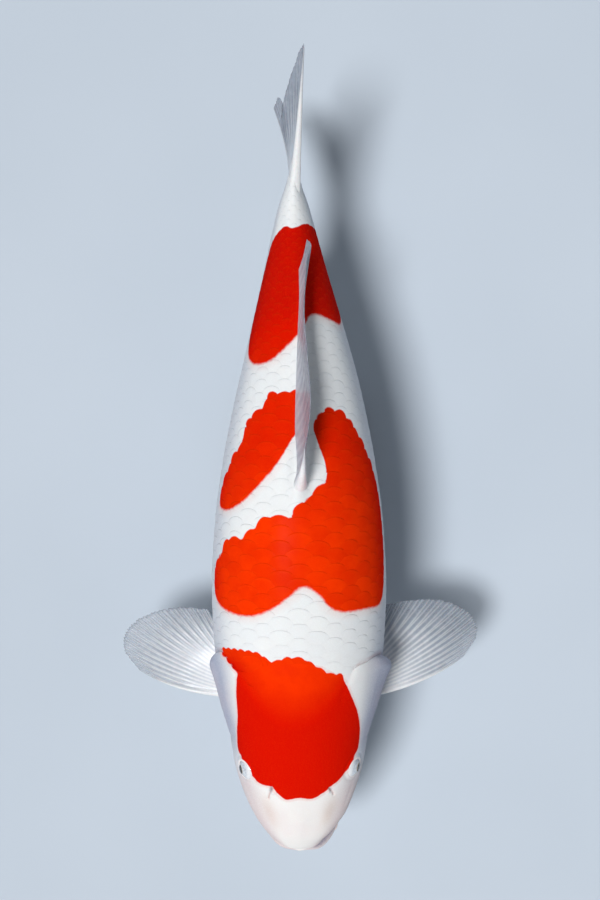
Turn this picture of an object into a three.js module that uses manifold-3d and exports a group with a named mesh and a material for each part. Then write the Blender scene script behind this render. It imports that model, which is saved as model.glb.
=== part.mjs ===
// A koi carp of the red-and-white kind, life size, held over a plain display stand.
//
// Units are millimetres, +Z is up and the head points towards -Y, so the fish's left side is +X.
// The origin is the centre of the underside of the stand's base.
//
// The fish is shaped in coordinates of its own, and one group carries it to its place:
//   x        across the body, before the slight bend of the backbone is added
//   station  distance behind the tip of the snout, along the body
//   z        height over the body's long axis

import * as THREE from 'three';
import { mergeVertices } from 'three/addons/utils/BufferGeometryUtils.js';
import Module from 'manifold-3d';

const wasm = await Module();
wasm.setup();

// ---------------------------------------------------------------- driving dimensions

const AXIS_HEIGHT = 168;          // body axis over the floor
const BALANCE_STATION = 300;      // station that stands over the origin
const GAP = 0.3;                  // thin cut between neighbouring pieces

// The body's profile: station, half width, height of the back, height of the belly.
const PROFILE = [
  [0, 0, -24, -30],
  [3, 14.5, -14, -38],
  [9, 23.5, -6, -44],
  [18, 31, 3, -49.5],
  [32, 40, 13, -55],
  [54, 50.5, 27, -61],
  [84, 60, 41.5, -67],
  [112, 65, 53, -74],
  [146, 73.5, 65, -82],
  [190, 79, 77.5, -89],
  [250, 82, 88.5, -94],
  [310, 79, 93, -95],
  [370, 71, 90, -90],
  [430, 59, 80, -78],
  [490, 44, 65, -60.5],
  [540, 31, 51, -45.5],
  [580, 21, 41, -38],
  [605, 14.5, 37.5, -36],
  [625, 7.5, 38.5, -37.5],
  [644, 2.4, 43, -42],
];
const BODY_LENGTH = PROFILE[PROFILE.length - 1][0];
const WIDEST_LEVEL = -14;         // height of the widest line along the head and shoulder
const SNOUT_TURN = 1;             // the snout points this far to the left
const TAIL_TURN = -5;             // the tail stalk ends this far to the right

const NAPE_STATION = 192;         // the scaled trunk begins here on the back
const DORSAL_STATION = 337;       // front of the dorsal fin, where the trunk is parted
const STALK_STATION = 545;        // the tail stalk begins here

const RING_COUNT = 34;
const RING_POINTS = 26;
const RING_CROWDING = 1.6;        // rings stand closer together towards the snout

// The eyes are balls set into the head, at a station and an angle that differ a little by side.
const EYE = { left: [87, 57.5], right: [85, 56], radius: 12, sunk: 7.6, forward: 0.2, upward: 0.5 };

// The gill covers, bounded by angles above and below. Their rear edge is furthest back at the
// corner, a share of the way down, and they rise off the body on the way to that edge.
const GILL = {
  topAngle: { front: 64, rear: 36 },
  bottomAngle: 148,
  corner: 0.3,
  front: { top: 122, bottom: 106 },
  rear: 189,
  upperCurl: 7,
  lowerSweep: 70,
  rise: 8.5,
  tuck: 2.4,
  sunk: 4,
  edge: 2,
};

const STAND = {
  halfLength: 150,
  halfWidth: 64,
  thickness: 16,
  edgeBevel: 2,
  rodRadius: 5,
  flangeRadius: 13,
  flangeHeight: 4,
  cupRadius: 10,
  cupHeight: 12,
  rodStations: [214, 392],
};

// ---------------------------------------------------------------- numbers and curves

const radians = THREE.MathUtils.degToRad;
const clamp = THREE.MathUtils.clamp;
const mix = THREE.MathUtils.lerp;

function smooth(from, to, value) {
  const t = clamp((value - from) / (to - from), 0, 1);
  return t * t * (3 - 2 * t);
}

// A smooth curve through knots that never overshoots them.
function curveThrough(knots, values) {
  const count = knots.length;
  const widths = [];
  const rises = [];
  for (let i = 0; i < count - 1; i += 1) {
    widths.push(knots[i + 1] - knots[i]);
    rises.push((values[i + 1] - values[i]) / widths[i]);
  }
  const slopes = [rises[0]];
  for (let i = 1; i < count - 1; i += 1) {
    if (rises[i - 1] * rises[i] <= 0) {
      slopes.push(0);
    } else {
      const before = 2 * widths[i] + widths[i - 1];
      const after = widths[i] + 2 * widths[i - 1];
      slopes.push((before + after) / (before / rises[i - 1] + after / rises[i]));
    }
  }
  slopes.push(rises[count - 2]);
  return (at) => {
    const place = clamp(at, knots[0], knots[count - 1]);
    let i = 0;
    while (i < count - 2 && place > knots[i + 1]) {
      i += 1;
    }
    const t = (place - knots[i]) / widths[i];
    const start = (1 + 2 * t) * (1 - t) ** 2 * values[i];
    const end = t * t * (3 - 2 * t) * values[i + 1];
    const leave = t * (1 - t) ** 2 * widths[i] * slopes[i];
    const arrive = t * t * (t - 1) * widths[i] * slopes[i + 1];
    return start + end + leave + arrive;
  };
}

const profileStations = PROFILE.map((row) => row[0]);
const halfWidth = curveThrough(profileStations, PROFILE.map((row) => row[1]));
const backHeight = curveThrough(profileStations, PROFILE.map((row) => row[2]));
const bellyHeight = curveThrough(profileStations, PROFILE.map((row) => row[3]));

// How far the backbone's slight bend moves the body sideways.
function bend(station) {
  return SNOUT_TURN * (1 - smooth(0, 70, station)) + TAIL_TURN * smooth(430, 620, station);
}

function fishPoint(x, station, z) {
  return new THREE.Vector3(x + bend(station), station, z);
}

// ---------------------------------------------------------------- the body's surface

function widestLevel(station) {
  const middle = (backHeight(station) + bellyHeight(station)) / 2;
  const level = WIDEST_LEVEL * (1 - smooth(200, 560, station));
  return mix(middle, level, smooth(0, 40, station));
}

// Angle 0 is the back, 180 the belly; a negative angle is on the fish's right.
function sectionPoint(station, angle) {
  const level = widestLevel(station);
  const sine = Math.sin(radians(angle));
  const cosine = Math.cos(radians(angle));
  const upperFullness = 2.1 + 0.1 * smooth(100, 220, station) - 0.2 * smooth(450, 600, station);
  const lowerFullness = 2.5 - 0.5 * smooth(400, 600, station);
  const power = 2 / (cosine >= 0 ? upperFullness : lowerFullness);
  const reach = cosine >= 0 ? backHeight(station) - level : bellyHeight(station) - level;
  const x = halfWidth(station) * Math.sign(sine) * Math.abs(sine) ** power;
  const z = level + reach * Math.abs(cosine) ** power;
  return new THREE.Vector2(x, z);
}

// A point on the body, or at a height over it, measured square to the cross-section's outline.
function surfacePoint(station, angle, height = 0) {
  const step = 1;
  const at = sectionPoint(station, angle);
  const along = sectionPoint(station, angle + step).sub(sectionPoint(station, angle - step));
  along.normalize();
  return fishPoint(at.x - along.y * height, station, at.y + along.x * height);
}

// ---------------------------------------------------------------- closed solids

function toSolid(geometry) {
  const bare = geometry.clone();
  bare.deleteAttribute('normal');
  bare.deleteAttribute('uv');
  const merged = mergeVertices(bare, 1e-4);
  const mesh = new wasm.Mesh({
    numProp: 3,
    vertProperties: new Float32Array(merged.attributes.position.array),
    triVerts: new Uint32Array(merged.index.array),
  });
  return new wasm.Manifold(mesh);
}

// The largest piece of a solid, without crumbs that a cut left over.
function mainPiece(solid) {
  const pieces = solid.decompose();
  return pieces.reduce((best, piece) => (piece.volume() > best.volume() ? piece : best));
}

function toGeometry(solid) {
  const mesh = mainPiece(solid).getMesh();
  const geometry = new THREE.BufferGeometry();
  geometry.setAttribute('position', new THREE.BufferAttribute(mesh.vertProperties, 3));
  geometry.setIndex(new THREE.BufferAttribute(mesh.triVerts, 1));
  geometry.computeVertexNormals();
  return geometry;
}

function volumeOf(points, triangles) {
  let volume = 0;
  for (let i = 0; i < triangles.length; i += 3) {
    const [a, b, c] = [0, 1, 2].map((k) => points[triangles[i + k]]);
    volume += a.dot(new THREE.Vector3().crossVectors(b, c)) / 6;
  }
  return volume;
}

function closedSolid(points, triangles) {
  const order = volumeOf(points, triangles) < 0 ? triangles.slice().reverse() : triangles;
  const geometry = new THREE.BufferGeometry().setFromPoints(points);
  geometry.setIndex(order);
  return toSolid(geometry);
}

// A solid with a ring of points at each step, and a point to close each end.
function loftSolid(rings, firstTip, lastTip) {
  const size = rings[0].length;
  const points = rings.flat();
  const triangles = [];
  for (let ring = 0; ring < rings.length - 1; ring += 1) {
    for (let i = 0; i < size; i += 1) {
      const next = (i + 1) % size;
      const low = ring * size;
      const high = low + size;
      triangles.push(low + i, low + next, high + next, low + i, high + next, high + i);
    }
  }
  const first = points.push(firstTip) - 1;
  const last = points.push(lastTip) - 1;
  const lastRing = (rings.length - 1) * size;
  for (let i = 0; i < size; i += 1) {
    const next = (i + 1) % size;
    triangles.push(first, next, i);
    triangles.push(last, lastRing + i, lastRing + next);
  }
  return closedSolid(points, triangles);
}

// A sheet with a thickness: outer and inner are its two faces over a grid of (a, b) in 0..1.
function sheetSolid(outer, inner, stepsA, stepsB) {
  const points = [];
  const triangles = [];
  const width = stepsB + 1;
  const faceSize = (stepsA + 1) * width;
  for (const face of [outer, inner]) {
    for (let i = 0; i <= stepsA; i += 1) {
      for (let j = 0; j <= stepsB; j += 1) {
        points.push(face(i / stepsA, j / stepsB));
      }
    }
  }
  const quad = (a, b, c, d) => triangles.push(a, b, c, a, c, d);
  for (let i = 0; i < stepsA; i += 1) {
    for (let j = 0; j < stepsB; j += 1) {
      const corner = i * width + j;
      const corners = [corner, corner + width, corner + width + 1, corner + 1];
      quad(...corners);
      quad(...corners.map((index) => index + faceSize).reverse());
    }
  }
  const wall = (from, to) => quad(from, to, to + faceSize, from + faceSize);
  for (let i = 0; i < stepsA; i += 1) {
    wall((i + 1) * width, i * width);
    wall(i * width + stepsB, (i + 1) * width + stepsB);
  }
  for (let j = 0; j < stepsB; j += 1) {
    wall(j, j + 1);
    wall(stepsA * width + j + 1, stepsA * width + j);
  }
  return closedSolid(points, triangles);
}

// A round rod of changing radius along a list of points.
function rodSolid(path, radiusAt, sides = 6, steps = 7) {
  const curve = new THREE.CatmullRomCurve3(path);
  const frames = curve.computeFrenetFrames(steps, false);
  const rings = [];
  for (let i = 0; i <= steps; i += 1) {
    const centre = curve.getPointAt(i / steps);
    const radius = radiusAt(i / steps);
    const ring = [];
    for (let k = 0; k < sides; k += 1) {
      const turn = (2 * Math.PI * k) / sides;
      const point = centre.clone();
      point.addScaledVector(frames.normals[i], radius * Math.cos(turn));
      point.addScaledVector(frames.binormals[i], radius * Math.sin(turn));
      ring.push(point);
    }
    rings.push(ring);
  }
  return loftSolid(rings, curve.getPointAt(0), curve.getPointAt(1));
}

// A block that runs right across the fish, drawn from the side as (station, z) corners.
function sideBlock(corners) {
  const reach = 130;
  const outline = new THREE.Shape(corners.map(([station, z]) => new THREE.Vector2(station, z)));
  const geometry = new THREE.ExtrudeGeometry(outline, { depth: 2 * reach, bevelEnabled: false });
  geometry.rotateX(Math.PI / 2);
  geometry.rotateZ(Math.PI / 2);
  const box = new THREE.Box3().setFromBufferAttribute(geometry.attributes.position);
  const middle = (box.min.x + box.max.x) / 2;
  geometry.translate(-middle, 0, 0);
  return toSolid(geometry);
}

// ---------------------------------------------------------------- body pieces

function bodySolid(grow = 0) {
  const rings = [];
  for (let i = 1; i <= RING_COUNT; i += 1) {
    const station = BODY_LENGTH * (i / RING_COUNT) ** RING_CROWDING;
    const ring = [];
    for (let k = 0; k < RING_POINTS; k += 1) {
      ring.push(surfacePoint(station, (360 * k) / RING_POINTS - 180, grow));
    }
    rings.push(ring);
  }
  const snout = fishPoint(0, -0.5 - grow, (backHeight(0) + bellyHeight(0)) / 2);
  const stalkEnd = fishPoint(0, BODY_LENGTH + 1 + grow, 0);
  return loftSolid(rings, snout, stalkEnd);
}

// Corners of the curved cut behind the head, from over the back to under the throat.
function napeCut(shift) {
  const cut = [[NAPE_STATION, 130], [NAPE_STATION, 84], [183, 50], [177, 0], [164, -44], [122, -130]];
  return cut.map(([station, z]) => [station + shift, z]);
}

function uprightCut(station) {
  return [[station, -130], [station, 130]];
}

function gillCoverSolid(side, grow = 0) {
  const { topAngle, bottomAngle, corner, front, rise, tuck, sunk, edge } = GILL;
  const place = (a, b, heightAt) => {
    const top = mix(topAngle.front, topAngle.rear, a) - grow;
    const angle = mix(top, bottomAngle + grow, b);
    const curl = GILL.upperCurl * Math.max(0, 1 - b / corner) ** 2;
    const sweep = GILL.lowerSweep * Math.max(0, (b - corner) / (1 - corner)) ** 1.6;
    const frontStation = mix(front.top, front.bottom, b) - grow;
    const rearStation = GILL.rear - curl - sweep + grow;
    const crown = 0.4 + 0.6 * Math.sin(Math.PI * b) ** 0.6;
    return surfacePoint(mix(frontStation, rearStation, a), side * angle, heightAt(a, crown));
  };
  const lift = (a, crown) => rise * crown * a ** 1.6 - tuck * smooth(0.8, 1, a);
  const outer = (a, b) => place(a, b, (at, crown) => lift(at, crown) + grow);
  const inner = (a, b) => place(a, b, (at, crown) => mix(-sunk, lift(at, crown) - edge, at ** 2) - grow);
  return sheetSolid(outer, inner, 7, 9);
}

function eyeSolid(side, grow = 0) {
  const [station, angle] = side > 0 ? EYE.left : EYE.right;
  const outward = new THREE.Vector3(side, -EYE.forward, EYE.upward).normalize();
  const centre = surfacePoint(station, side * angle).addScaledVector(outward, -EYE.sunk);
  const ball = new THREE.SphereGeometry(EYE.radius + grow, 12, 8);
  ball.rotateZ(side * Math.PI / 2);
  ball.translate(centre.x, centre.y, centre.z);
  return toSolid(ball);
}

// A lip is a rounded roll that goes round the front of the mouth from corner to corner.
// The mouth is a little askew, so the roll is moved to the left by its skew.
function lipSolid({ reach, skew, front, depth, height, drop, radius }, grow = 0) {
  const path = [];
  for (let turn = -90; turn <= 90; turn += 15) {
    const back = 1 - Math.cos(radians(turn));
    const x = skew + reach * Math.sin(radians(turn));
    path.push(fishPoint(x, front + depth * back, height - drop * back));
  }
  const radiusAt = (t) => radius * (1 - 0.45 * Math.abs(2 * t - 1) ** 2) + grow;
  return rodSolid(path, radiusAt, 8, 12);
}

const UPPER_LIP = { reach: 32.5, skew: 2, front: 3.4, depth: 24, height: -25.5, drop: 11, radius: 4.4 };
const LOWER_LIP = { reach: 28, skew: 1.5, front: 6.2, depth: 22, height: -33.5, drop: 10, radius: 4 };

// The lower jaw is the chin below the line of the mouth.
function jawBlock(grow = 0) {
  return sideBlock([
    [-30, -29.5 + grow],
    [2, -29.5 + grow],
    [30, -40 + grow],
    [50 + grow, -52],
    [62 + grow, -90],
    [-30, -90],
  ]);
}

// Barbels hang just clear of the skin. Each row is a station, an angle and a height over the skin.
const LIP_BARBEL = {
  path: [[16, 103, -3], [17.5, 106, 3], [21, 112, 5.5], [26, 120, 6.5], [32, 128, 6.5]],
  radius: 1.4,
};
const CORNER_BARBEL = {
  path: [[31, 112, -3], [33, 115, 2.5], [40, 121, 6.5], [49, 128, 8.5], [58, 136, 9]],
  radius: 2.4,
};
const BARBEL_TIP_RADIUS = 0.5;

function barbelSolid(side, { path, radius }) {
  const points = path.map(([station, angle, height]) => surfacePoint(station, side * angle, height));
  return rodSolid(points, (t) => mix(radius, BARBEL_TIP_RADIUS, t));
}

// ---------------------------------------------------------------- fins

// A fin is a web of rays that fan from its root to its free margin. Root and margin are given as
// (x, station, z) from the leading ray to the last one. Each ray bows forwards at the middle, and
// the bow fades towards the last ray.
const FINS = {
  dorsal_fin: {
    root: [[0, 337, 88], [0.3, 400, 82], [1.7, 470, 67], [4.2, 540, 47]],
    margin: [
      [5, 380, 141], [9, 402, 137], [9.3, 434, 123], [7, 470, 108], [6.5, 510, 95], [10.6, 545, 84.5],
      [14.6, 560, 79], [10.6, 566, 70],
    ],
    bow: [0, -5, 4],
    rootThickness: 7,
    marginThickness: 1.2,
  },
  anal_fin: {
    root: [[0, 488, -57], [0, 514, -49], [0, 538, -41]],
    margin: [[-2, 552, -116], [-3, 562, -112], [-3, 569, -94], [-3, 573, -76], [-3, 572, -64]],
    bow: [0, -3, -3],
    rootThickness: 7,
    marginThickness: 1.2,
  },
  tail_fin_upper: {
    root: [[0, 598, 31], [0.3, 628, 24], [0, 628, 12], [0, 628, 0.3]],
    margin: [
      [9.5, 735, 80], [8.5, 738, 72], [2.5, 729, 54], [-4.5, 713, 36], [-10, 696, 18],
      [-11.5, 681, 0.6],
    ],
    bow: [0, -3, -4],
    rootThickness: 9,
    marginThickness: 1.2,
  },
  tail_fin_lower: {
    root: [[-1, 604, -34], [0, 628, -23], [0, 628, -12], [0, 628, -0.3]],
    margin: [
      [-20, 716, -78], [-16.5, 723, -68], [-13, 719, -51], [-11.5, 709, -34], [-11.5, 695, -15],
      [-11.5, 681, -0.6],
    ],
    bow: [6, -3, 4],
    rootThickness: 9,
    marginThickness: 1.2,
  },
  pectoral_fin: {
    root: [[56, 137, -62], [60, 150, -58], [62, 163, -55], [62, 174, -53]],
    margin: [
      [158, 170, -66], [172, 191, -67], [169, 208, -65], [156, 220, -63], [133, 228, -61],
      [104, 229, -59], [84, 226, -57],
    ],
    bow: [4, -6, 3],
    rootThickness: 8,
    marginThickness: 1.2,
  },
  pelvic_fin: {
    root: [[36, 316, -82], [30, 326, -84], [22, 334, -86]],
    margin: [[62, 382, -118], [62, 398, -119], [50, 406, -117], [35, 402, -113], [26, 390, -109]],
    bow: [5, -2, -2],
    rootThickness: 7,
    marginThickness: 1.2,
  },
};

// The pectoral fins turn about their hinges: the left one is swept back a little, and the right one
// forwards. The left one is also spread wider.
const PECTORAL_HINGE = { x: 60, station: 158 };
const PECTORAL_POSE = {
  left: { sweep: 4, spread: 1.04 },
  right: { sweep: -4, spread: 0.97 },
};

function swept([x, station, z], { sweep, spread }) {
  const turn = radians(sweep);
  const out = (x - PECTORAL_HINGE.x) * spread;
  const back = station - PECTORAL_HINGE.station;
  const newX = PECTORAL_HINGE.x + out * Math.cos(turn) - back * Math.sin(turn);
  const newStation = PECTORAL_HINGE.station + out * Math.sin(turn) + back * Math.cos(turn);
  return [newX, newStation, z];
}

function sweptFin(fin, pose) {
  const turned = (rows) => rows.map((row) => swept(row, pose));
  return { ...fin, root: turned(fin.root), margin: turned(fin.margin) };
}

function sampleCurve(rows, side) {
  const curve = new THREE.CatmullRomCurve3(rows.map(([x, station, z]) => fishPoint(side * x, station, z)));
  return (t) => curve.getPoint(clamp(t, 0, 1));
}

function finSolid(fin, side = 1) {
  const rootAt = sampleCurve(fin.root, side);
  const marginAt = sampleCurve(fin.margin, side);
  const bow = new THREE.Vector3(side * fin.bow[0], fin.bow[1], fin.bow[2]);
  const middle = (along, ray) => {
    const point = rootAt(ray).lerp(marginAt(ray), along);
    return point.addScaledVector(bow, 4 * along * (1 - along) * (1 - ray));
  };
  const face = (direction) => (along, ray) => {
    const step = 0.02;
    const outwards = middle(along + step, ray).sub(middle(along - step, ray));
    const across = middle(along, Math.min(ray + step, 1)).sub(middle(along, Math.max(ray - step, 0)));
    const normal = outwards.cross(across).normalize();
    const thickness = mix(fin.rootThickness, fin.marginThickness, Math.min(1, along * 1.6) ** 0.7);
    return middle(along, ray).addScaledVector(normal, direction * thickness / 2);
  };
  return sheetSolid(face(1), face(-1), 5, 10);
}

// ---------------------------------------------------------------- stand

function basePlateSolid() {
  const { halfLength, halfWidth: half, thickness, edgeBevel } = STAND;
  const corner = 0.6 * half;
  const plan = new THREE.Shape();
  plan.absellipse(0, halfLength - corner, half - edgeBevel, corner - edgeBevel, 0, Math.PI, false);
  plan.absellipse(0, corner - halfLength, half - edgeBevel, corner - edgeBevel, Math.PI, 2 * Math.PI, false);
  plan.closePath();
  const plate = new THREE.ExtrudeGeometry(plan, {
    depth: thickness - 2 * edgeBevel,
    bevelSize: edgeBevel,
    bevelThickness: edgeBevel,
    bevelSegments: 2,
    curveSegments: 5,
  });
  plate.translate(0, 0, edgeBevel);
  return toSolid(plate);
}

// One rod, turned about its axis: a flange on the base, a slim shaft and a cup under the belly.
function rodProfileSolid(station) {
  const { rodRadius, flangeRadius, flangeHeight, cupRadius, cupHeight, thickness } = STAND;
  const foot = thickness + GAP - AXIS_HEIGHT;
  const belly = bellyHeight(station);
  const top = belly + 6;
  const profile = [
    [0, foot],
    [flangeRadius, foot],
    [flangeRadius, foot + flangeHeight - 1],
    [flangeRadius - 1, foot + flangeHeight],
    [rodRadius + 1.5, foot + flangeHeight + 1],
    [rodRadius, foot + flangeHeight + 3],
    [rodRadius, belly - cupHeight],
    [cupRadius, belly - 3],
    [cupRadius, top],
    [0, top],
  ];
  const rod = new THREE.LatheGeometry(profile.map(([radius, z]) => new THREE.Vector2(radius, z)), 14);
  rod.rotateX(Math.PI / 2);
  rod.translate(0, station, 0);
  return toSolid(rod);
}

// ---------------------------------------------------------------- assembly

function finish(color, roughness, metalness = 0) {
  return new THREE.MeshStandardMaterial({ color, roughness, metalness });
}

const finishes = {
  whiteSkin: finish(0xe9e8e4, 0.35),
  redSkin: finish(0xdf2a0c, 0.35),
  palePink: finish(0xe6d6d0, 0.4),
  fin: finish(0xb9cbdc, 0.4),
  eye: finish(0x23262b, 0.1),
  wood: finish(0x5a3d28, 0.5),
  steel: finish(0xb8bcc0, 0.3, 1),
};

const fish = new THREE.Group();
fish.position.set(0, -BALANCE_STATION, AXIS_HEIGHT);

const stand = new THREE.Group();

function add(parent, name, solid, material) {
  const mesh = new THREE.Mesh(toGeometry(solid), material);
  mesh.name = name;
  parent.add(mesh);
}

const body = bodySolid();
const grownBody = bodySolid(GAP);
const sides = { left: 1, right: -1 };

function buildHead() {
  const front = sideBlock([...napeCut(-GAP / 2), [-30, -130], [-30, 130]]);
  let head = body.intersect(front).subtract(jawBlock(GAP)).subtract(lipSolid(UPPER_LIP, GAP));
  head = head.subtract(lipSolid(LOWER_LIP, GAP));
  for (const side of Object.values(sides)) {
    head = head.subtract(gillCoverSolid(side, GAP)).subtract(eyeSolid(side, GAP));
  }
  add(fish, 'head', head, finishes.redSkin);

  add(fish, 'upper_lip', lipSolid(UPPER_LIP), finishes.palePink);
  const chin = mainPiece(body.intersect(front).intersect(jawBlock()));
  const jaw = chin.add(lipSolid(LOWER_LIP)).subtract(lipSolid(UPPER_LIP, GAP));
  add(fish, 'lower_jaw', jaw, finishes.palePink);

  for (const [name, side] of Object.entries(sides)) {
    add(fish, `gill_cover_${name}`, gillCoverSolid(side), finishes.whiteSkin);
    add(fish, `eye_${name}`, eyeSolid(side), finishes.eye);
    const lipBarbel = barbelSolid(side, LIP_BARBEL).subtract(grownBody).subtract(lipSolid(UPPER_LIP, GAP));
    add(fish, `lip_barbel_${name}`, lipBarbel.subtract(lipSolid(LOWER_LIP, GAP)), finishes.palePink);
    const cornerBarbel = barbelSolid(side, CORNER_BARBEL).subtract(grownBody);
    add(fish, `corner_barbel_${name}`, cornerBarbel, finishes.palePink);
  }
}

function buildTrunk() {
  const half = GAP / 2;
  const shoulder = sideBlock([...napeCut(half).reverse(), ...uprightCut(DORSAL_STATION - half).reverse()]);
  const loin = sideBlock([
    ...uprightCut(DORSAL_STATION + half),
    ...uprightCut(STALK_STATION - half).reverse(),
  ]);
  const stalk = sideBlock([
    ...uprightCut(STALK_STATION + half),
    ...uprightCut(BODY_LENGTH + 30).reverse(),
  ]);
  let front = body.intersect(shoulder);
  for (const side of Object.values(sides)) {
    front = front.subtract(gillCoverSolid(side, GAP));
  }
  add(fish, 'trunk_front', front, finishes.redSkin);
  add(fish, 'trunk_rear', body.intersect(loin), finishes.whiteSkin);
  add(fish, 'tail_stalk', body.intersect(stalk), finishes.whiteSkin);
}

function buildFins() {
  for (const name of ['dorsal_fin', 'anal_fin', 'tail_fin_upper', 'tail_fin_lower']) {
    add(fish, name, finSolid(FINS[name]).subtract(grownBody), finishes.fin);
  }
  for (const [name, side] of Object.entries(sides)) {
    const pectoral = finSolid(sweptFin(FINS.pectoral_fin, PECTORAL_POSE[name]), side).subtract(grownBody);
    add(fish, `pectoral_fin_${name}`, pectoral.subtract(gillCoverSolid(side, GAP)), finishes.fin);
    add(fish, `pelvic_fin_${name}`, finSolid(FINS.pelvic_fin, side).subtract(grownBody), finishes.fin);
  }
}

function buildStand() {
  add(stand, 'stand_base', basePlateSolid(), finishes.wood);
  const names = ['stand_rod_front', 'stand_rod_rear'];
  STAND.rodStations.forEach((station, i) => {
    add(fish, names[i], rodProfileSolid(station).subtract(grownBody), finishes.steel);
  });
}

buildHead();
buildTrunk();
buildFins();
buildStand();

const koi = new THREE.Group();
koi.add(fish, stand);

export default koi;
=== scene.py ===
"""The looks of a red-and-white koi carp on a plain display stand.

The fish is shaped in millimetres, in its own coordinates, as the solids are:
    x        across the body, before the slight bend of the backbone is added
    station  distance behind the tip of the snout
    z        height over the body's long axis
Every mesh is carried to the shared frame, in metres, when it is made.
"""
import math

import bpy
import numpy as np
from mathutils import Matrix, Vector


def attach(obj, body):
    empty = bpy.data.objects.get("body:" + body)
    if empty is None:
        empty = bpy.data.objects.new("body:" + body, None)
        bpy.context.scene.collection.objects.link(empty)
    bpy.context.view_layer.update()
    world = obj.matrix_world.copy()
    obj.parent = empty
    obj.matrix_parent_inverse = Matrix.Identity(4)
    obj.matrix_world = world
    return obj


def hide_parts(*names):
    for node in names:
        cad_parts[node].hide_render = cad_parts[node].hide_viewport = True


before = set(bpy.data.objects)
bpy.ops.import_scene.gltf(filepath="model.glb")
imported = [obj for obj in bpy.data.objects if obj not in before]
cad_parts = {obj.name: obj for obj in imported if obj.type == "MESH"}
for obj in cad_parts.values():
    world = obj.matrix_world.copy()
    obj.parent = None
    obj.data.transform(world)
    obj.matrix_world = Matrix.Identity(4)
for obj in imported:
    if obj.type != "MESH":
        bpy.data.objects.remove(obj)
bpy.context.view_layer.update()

# ---------------------------------------------------------------- driving dimensions, mm

MM = 0.001
AXIS_HEIGHT = 168.0
BALANCE_STATION = 300.0

# station, half width, height of the back, height of the belly
PROFILE = np.array([
    [0, 0, -24, -30], [3, 14.5, -14, -38], [9, 23.5, -6, -44], [18, 31, 3, -49.5],
    [32, 40, 13, -55], [54, 50.5, 27, -61], [84, 60, 41.5, -67], [112, 65, 53, -74],
    [146, 73.5, 65, -82], [190, 79, 77.5, -89], [250, 82, 88.5, -94], [310, 79, 93, -95],
    [370, 71, 90, -90], [430, 59, 80, -78], [490, 44, 65, -60.5], [540, 31, 51, -45.5],
    [580, 21, 41, -38], [605, 14.5, 37.5, -36], [625, 7.5, 38.5, -37.5], [644, 2.4, 43, -42],
], dtype=float)
BODY_LENGTH = PROFILE[-1, 0]
WIDEST_LEVEL = -14.0
SNOUT_TURN = 1.0
TAIL_TURN = -5.0
NAPE_STATION = 192.0

# The line where the head ends, on which the gill covers end too: angle from the back, and station
# on the fish's left and on its right.
HEAD_LINE = np.array([
    [0, 193, 193], [14, 190, 191.5], [25, 182, 187], [33, 181, 181], [43, 185.5, 180], [50, 187.5, 185],
    [56, 189.5, 191], [62, 190.5, 194.5], [68, 190, 194], [76, 188.5, 190], [84, 186, 186.5],
    [94, 182, 182], [106, 172, 172], [120, 156, 156], [134, 139, 139], [148, 123, 123],
    [165, 117, 117], [180, 116, 116],
], dtype=float)
GILL_TOP = 36.0                   # angles that bound the gill covers
GILL_BOTTOM = 148.0
GILL_FRONT = (122.0, 106.0)       # station of the cover's front, above and below
GILL_RISE = {1: 9.0, -1: 6.0}     # how far each cover stands out, by side
GILL_ROUNDING = 12.0

EYE = {"radius": 12.0, "sunk": 7.6, "forward": 0.2, "upward": 0.5}
EYE_PLACE = {1: (87.0, 57.5), -1: (85.0, 56.0)}     # station and angle, by side
EYE_LOOK = (1.0, -0.18, 0.3)      # outward, back and up
EYE_RING_RADIUS = 8.8
EYE_RING_THICKNESS = 1.25

SCALE_ROWS = 34                   # rows of scales round the body
SCALE_SPREAD = 0.86               # half width of a scale, in rows
SCALE_LENGTH = 1.9                # length of a scale, in exposed lengths
SCALE_RELIEF = 0.058              # rise from root to edge, as a share of the exposed length
SCALE_THICKNESS = 0.2
COAT_DEPTH = 1.6                  # the skin lies this far under the scales' outer surface
SIDE_LINE_ROW = 9                 # the row of scales that carries the lateral line
LAST_SCALE = 634.0

SEED = 20


# ---------------------------------------------------------------- numbers and curves

def smooth(low, high, value):
    """0 up to low, 1 from high on, and an S-curve between them."""
    t = np.clip((value - low) / (high - low), 0, 1)
    return t * t * (3 - 2 * t)


def mix(a, b, t):
    """From a at 0 to b at 1."""
    return a + (b - a) * t


def bump(centre, width, value):
    """A bell of height 1."""
    return np.exp(-((value - centre) / width) ** 2)


def curve_through(knots, values):
    """A smooth curve through knots that never overshoots them."""
    widths = np.diff(knots)
    rises = np.diff(values) / widths
    slopes = np.zeros(len(knots))
    slopes[0], slopes[-1] = rises[0], rises[-1]
    for i in range(1, len(knots) - 1):
        if rises[i - 1] * rises[i] > 0:
            before = 2 * widths[i] + widths[i - 1]
            after = widths[i] + 2 * widths[i - 1]
            slopes[i] = (before + after) / (before / rises[i - 1] + after / rises[i])

    def at(place):
        place = np.clip(place, knots[0], knots[-1])
        i = np.clip(np.searchsorted(knots, place, side="right") - 1, 0, len(knots) - 2)
        t = (place - knots[i]) / widths[i]
        start = (1 + 2 * t) * (1 - t) ** 2 * values[i]
        end = t * t * (3 - 2 * t) * values[i + 1]
        leave = t * (1 - t) ** 2 * widths[i] * slopes[i]
        arrive = t * t * (t - 1) * widths[i] * slopes[i + 1]
        return start + end + leave + arrive

    return at


half_width = curve_through(PROFILE[:, 0], PROFILE[:, 1])
back_height = curve_through(PROFILE[:, 0], PROFILE[:, 2])
belly_height = curve_through(PROFILE[:, 0], PROFILE[:, 3])
left_head_line = curve_through(HEAD_LINE[:, 0], HEAD_LINE[:, 1])
right_head_line = curve_through(HEAD_LINE[:, 0], HEAD_LINE[:, 2])


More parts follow.
